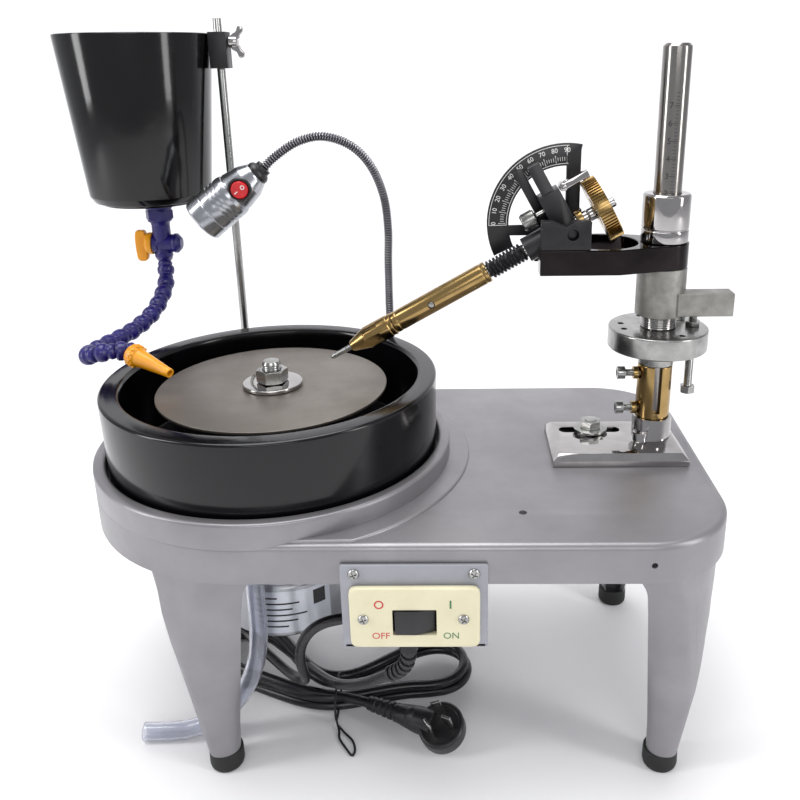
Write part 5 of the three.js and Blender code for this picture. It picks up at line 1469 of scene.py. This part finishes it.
piece("yellow_valve_key", valve_key(), "valve_lever", ["valve_knob"])
hose_points = [
    (-107.3, 128, 291.2), (-107.3, 127.9, 286), (-105.6, 121, 277.5), (-104.4, 112, 271.5),
    (-104.8, 101, 266), (-107, 89, 259.5),
    (-111, 77, 255), (-116, 63, 252), (-121, 49, 250.8), (-125.5, 34, 250.6), (-127.5, 19, 251),
    (-122.5, 7, 254), (-111, 4, 257.2),
    (-98.5, 8.5, 256.6),
]
hose_line = [at(*p) for p in smooth_line(hose_points, 10)]
hose_length = sum((b - a).length for a, b in zip(hose_line, hose_line[1:]))
SEGMENT = 11.2
segment = turned("segment", [(3.4, -6.2), (5.4, -6.0), (6.35, -4.6), (6.5, -2.6), (6.1, -0.4),
    (4.9, 0.9), (4.7, 1.5), (5.2, 2.4), (5.5, 3.6),
                             (5.2, 5.0), (4.4, 6.0), (3.2, 6.4)], nylon_blue, AT_ORIGIN, soft=0.4,
                             sides=40)
path = path_curve("hose_path", hose_line)
segments = grown("segments", ALONG_PATH, {"Shape": segment, "Path": path, "Spacing": SEGMENT * MM,
    "Twist": 0.0, "Finish": nylon_blue})
core = rod("core", hose_line, 4.3, nylon_blue, steps=1, sides_level=3)
piece("ball_jointed_hose", [segments, core], "drip_bucket", ["coolant_hose"])
print(f"hose: {hose_length * 1000:.0f} mm, about {round(hose_length / SEGMENT / MM)} segments")
NOZZLE = turn_to(at(-58.5, -15, 247) - at(*hose_points[-1]), at(*hose_points[-1]))
cone = turned("cone", [(2.2, 5.6), (6.6, 5.9), (7.5, 7.4), (7.5, 10.6), (6.9, 11.4), (6.9, 12.6),
    (5.9, 13.6), (3.3, 38.5), (3.1, 42), (1.9, 42),
                       (1.9, 36), (2.2, 12)], acetal_yellow, NOZZLE, soft=0.4, sides=56, closed=True)
ridge = box("ridge", 6.6, 7.9, -0.7, 0.7, 7.2, 12.4, acetal_yellow, AT_ORIGIN, bevel=0.3, soft=0.2)
ridges = grown("ridges", ROUND_AXIS, {"Shape": ridge, "Count": 12, "Step Angle": math.tau / 12,
    "Finish": acetal_yellow}, NOZZLE)
piece("yellow_nozzle", [cone, ridges], "nozzle_tip", ["nozzle"])
# %% [markdown]
# ## The lamp
# The gooseneck is a strip wound into a flexible tube: its turns show as fine rings, so one small rounded ring
# is strung along its path. The head is turned aluminium with grooves, a black ferrule at the neck, a red
# rocker in a black bezel, and a recessed frosted lens with a small warm emitter in its middle.

# %% Gooseneck
LAMP_FOOT = standing(70.5, 105)
goose_points = [
    (70.5, 105, 194.6), (70.5, 105, 225), (70.4, 105.4, 260), (70.6, 106, 293), (71.4, 105, 317),
    (69.2, 101, 343),
    (61, 95, 366), (48, 88, 381), (30, 80, 388), (13, 74, 385), (-2, 68.6, 375.6), (-8.6, 66.6, 369.6),
]
goose_line = [at(*p) for p in smooth_line(goose_points, 10)]
RING_PITCH = 1.9
ring = turned("ring", [(2.2, -0.95), (2.75, -0.7), (3.3, -0.2), (3.3, 0.2), (2.75, 0.7), (2.2, 0.95)],
    goose_steel, AT_ORIGIN,
              soft=0.15, sides=22, sharp=60)
goose_path = path_curve("goose_path", goose_line)
rings = grown("rings", ALONG_PATH, {"Shape": ring, "Path": goose_path, "Spacing": RING_PITCH * MM,
    "Twist": 0.0, "Finish": goose_steel},
              sharp=60)
goose_core = rod("goose_core", goose_line, 2.5, matt_black, steps=1, sides_level=2)
lamp_foot = turned("lamp_foot", [(0, 185.6), (8.4, 185.6), (8.4, 192.6), (7.2, 194.6), (5.3, 194.6),
    (5.1, 197), (4.1, 200.6), (0, 200.6)],
                   dark_chrome, LAMP_FOOT, soft=0.6, sides=56)
piece("lamp_flexible_arm", [rings, goose_core, lamp_foot], "stand", ["lamp_gooseneck"])

# %% Lamp head
ROCKER_ALONG = 22
neck = at(*goose_points[-1])
lamp_way = (at(-57.8, 60, 330.5) - neck).normalized()
lamp_side = Vector((-lamp_way.y, lamp_way.x, 0)).normalized()
lamp_up = lamp_way.cross(lamp_side)
LAMP = Matrix.Translation(neck) @ Matrix((lamp_side, lamp_up, lamp_way)).transposed().to_4x4()
ferrule = turned("ferrule", [(0, 0.7), (5.6, 0.7), (5.6, 3.2), (7.4, 4.4), (8.4, 6.2), (8.4, 8.4),
    (0, 8.4)], satin_black, LAMP, soft=0.5, sides=56)
shade_profile = [(7.6, 8.2), (8.6, 8.2), (9.4, 9.4), (12.3, 15.5), (14.3, 26.6), (13.9, 27.0),
    (13.9, 27.9), (14.7, 28.3), (15.5, 31)]
for groove in (34.0, 37.2, 40.4):
    shade_profile += [(15.5, groove), (14.8, groove + 0.25), (14.8, groove + 0.95),
        (15.5, groove + 1.2)]
shade_profile += [(15.5, 47), (15.0, 47.4), (15.0, 48.4), (15.5, 48.8), (15.5, 57.8), (14.6, 59),
    (13.2, 59), (12.9, 54.2), (11.6, 53), (0, 53)]
shade = turned("shade", [(0, 8.2), *shade_profile], turned_aluminium, LAMP, soft=0.25, sides=120)
seat = turned("seat", [(0, 8.4), (7.1, 8.4), (7.1, 24), (0, 24)], turned_aluminium,
    LAMP @ Matrix.Translation((0, 0, ROCKER_ALONG * MM)) @ turn_to(RIGHT), sides=48)
cut(shade, seat)
bezel = turned("bezel", [(6.3, 8.8), (6.3, 13.2), (6.7, 14.1), (7.7, 14.1), (8.2, 13.2), (8.2, 9),
    (7.0, 8.5)], satin_black,
               LAMP @ Matrix.Translation((0, 0, ROCKER_ALONG * MM)) @ turn_to(RIGHT), soft=0.3,
               sides=56, closed=True)
piece("lamp_shade", [shade, ferrule, bezel], "stand", ["lamp_head"])
lens = turned("lens", [(0, 53.4), (12.4, 54.4), (12.4, 55.4), (9, 56.6), (4, 57.4), (0, 57.6)],
    frosted_lens, LAMP, soft=0.8, sides=72)
emitter = turned("emitter", [(0, 57.2), (2.6, 57.2), (2.4, 58.0), (0, 58.4)], acetal_yellow, LAMP,
    soft=0.4, sides=28)
piece("lamp_lens_and_emitter", [lens, emitter], "stand", ["lamp_lens"])
ROCKER = LAMP @ Matrix.Translation((12.1 * MM, 0,
    ROCKER_ALONG * MM)) @ Matrix.Rotation(math.radians(-8), 4, "Y")
key = turned("key", [(0, -2.2), (6.0, -2.2), (6.1, 1.3), (5.4, 2.1), (0, 1.5)], red_key,
    ROCKER @ turn_to(RIGHT), soft=0.5, sides=48)
mark_face = ROCKER @ Matrix.Translation((1.95 * MM, 0, 0)) @ Matrix(((0, 0, 1, 0), (1, 0, 0, 0),
    (0, 1, 0, 0), (0, 0, 0, 1)))
bar_mark = box("bar_mark", -0.35, 0.35, 1.6, 4.2, -0.25, 0.12, white_ink, mark_face, bevel=0.05, soft=0)
ring_mark = plate("ring_mark", circle(1.5, 0, -3), -0.25, 0.12, white_ink, mark_face,
    holes=[circle(0.95, 0, -3)], bevel=0.04)
piece("red_lamp_rocker", [key, bar_mark, ring_mark], "lamp_key", ["lamp_rocker"])
# %% [markdown]
# ## CAD nodes that already have their final shape
# What is left of the CAD model is simple or hidden, so it keeps its mesh and only gets its finish.

# %% Finishes on the CAD nodes
NODE_FINISH = {
    "silver_paint": silver_paint, "gloss_black": black_pvc, "matt_black": matt_black, "rubber": rubber,
    "cord_rubber": cord_pvc, "steel": bright_steel, "chrome": chrome, "black_chrome": dark_chrome,
    "zinc": cast_zinc,
    "brass": turned_brass, "aluminium": turned_aluminium, "lap_bronze": lap_face,
    "motor_paint": motor_paint,
    "cream_plastic": cream_urea, "sheet_grey": sheet_grey, "blue_plastic": nylon_blue,
    "yellow_plastic": acetal_yellow,
    "red_plastic": red_key, "glass": frosted_lens, "clear_hose": clear_pvc,
}
slots = {entry["node"]: entry["material_slot"] for entry in frame["record"]["subparts"]}
for node_name, node in frame["nodes"].items():
    node.data.materials.clear()
    node.data.materials.append(NODE_FINISH[slots[node_name]])
print("dressed", len(slots), "nodes")
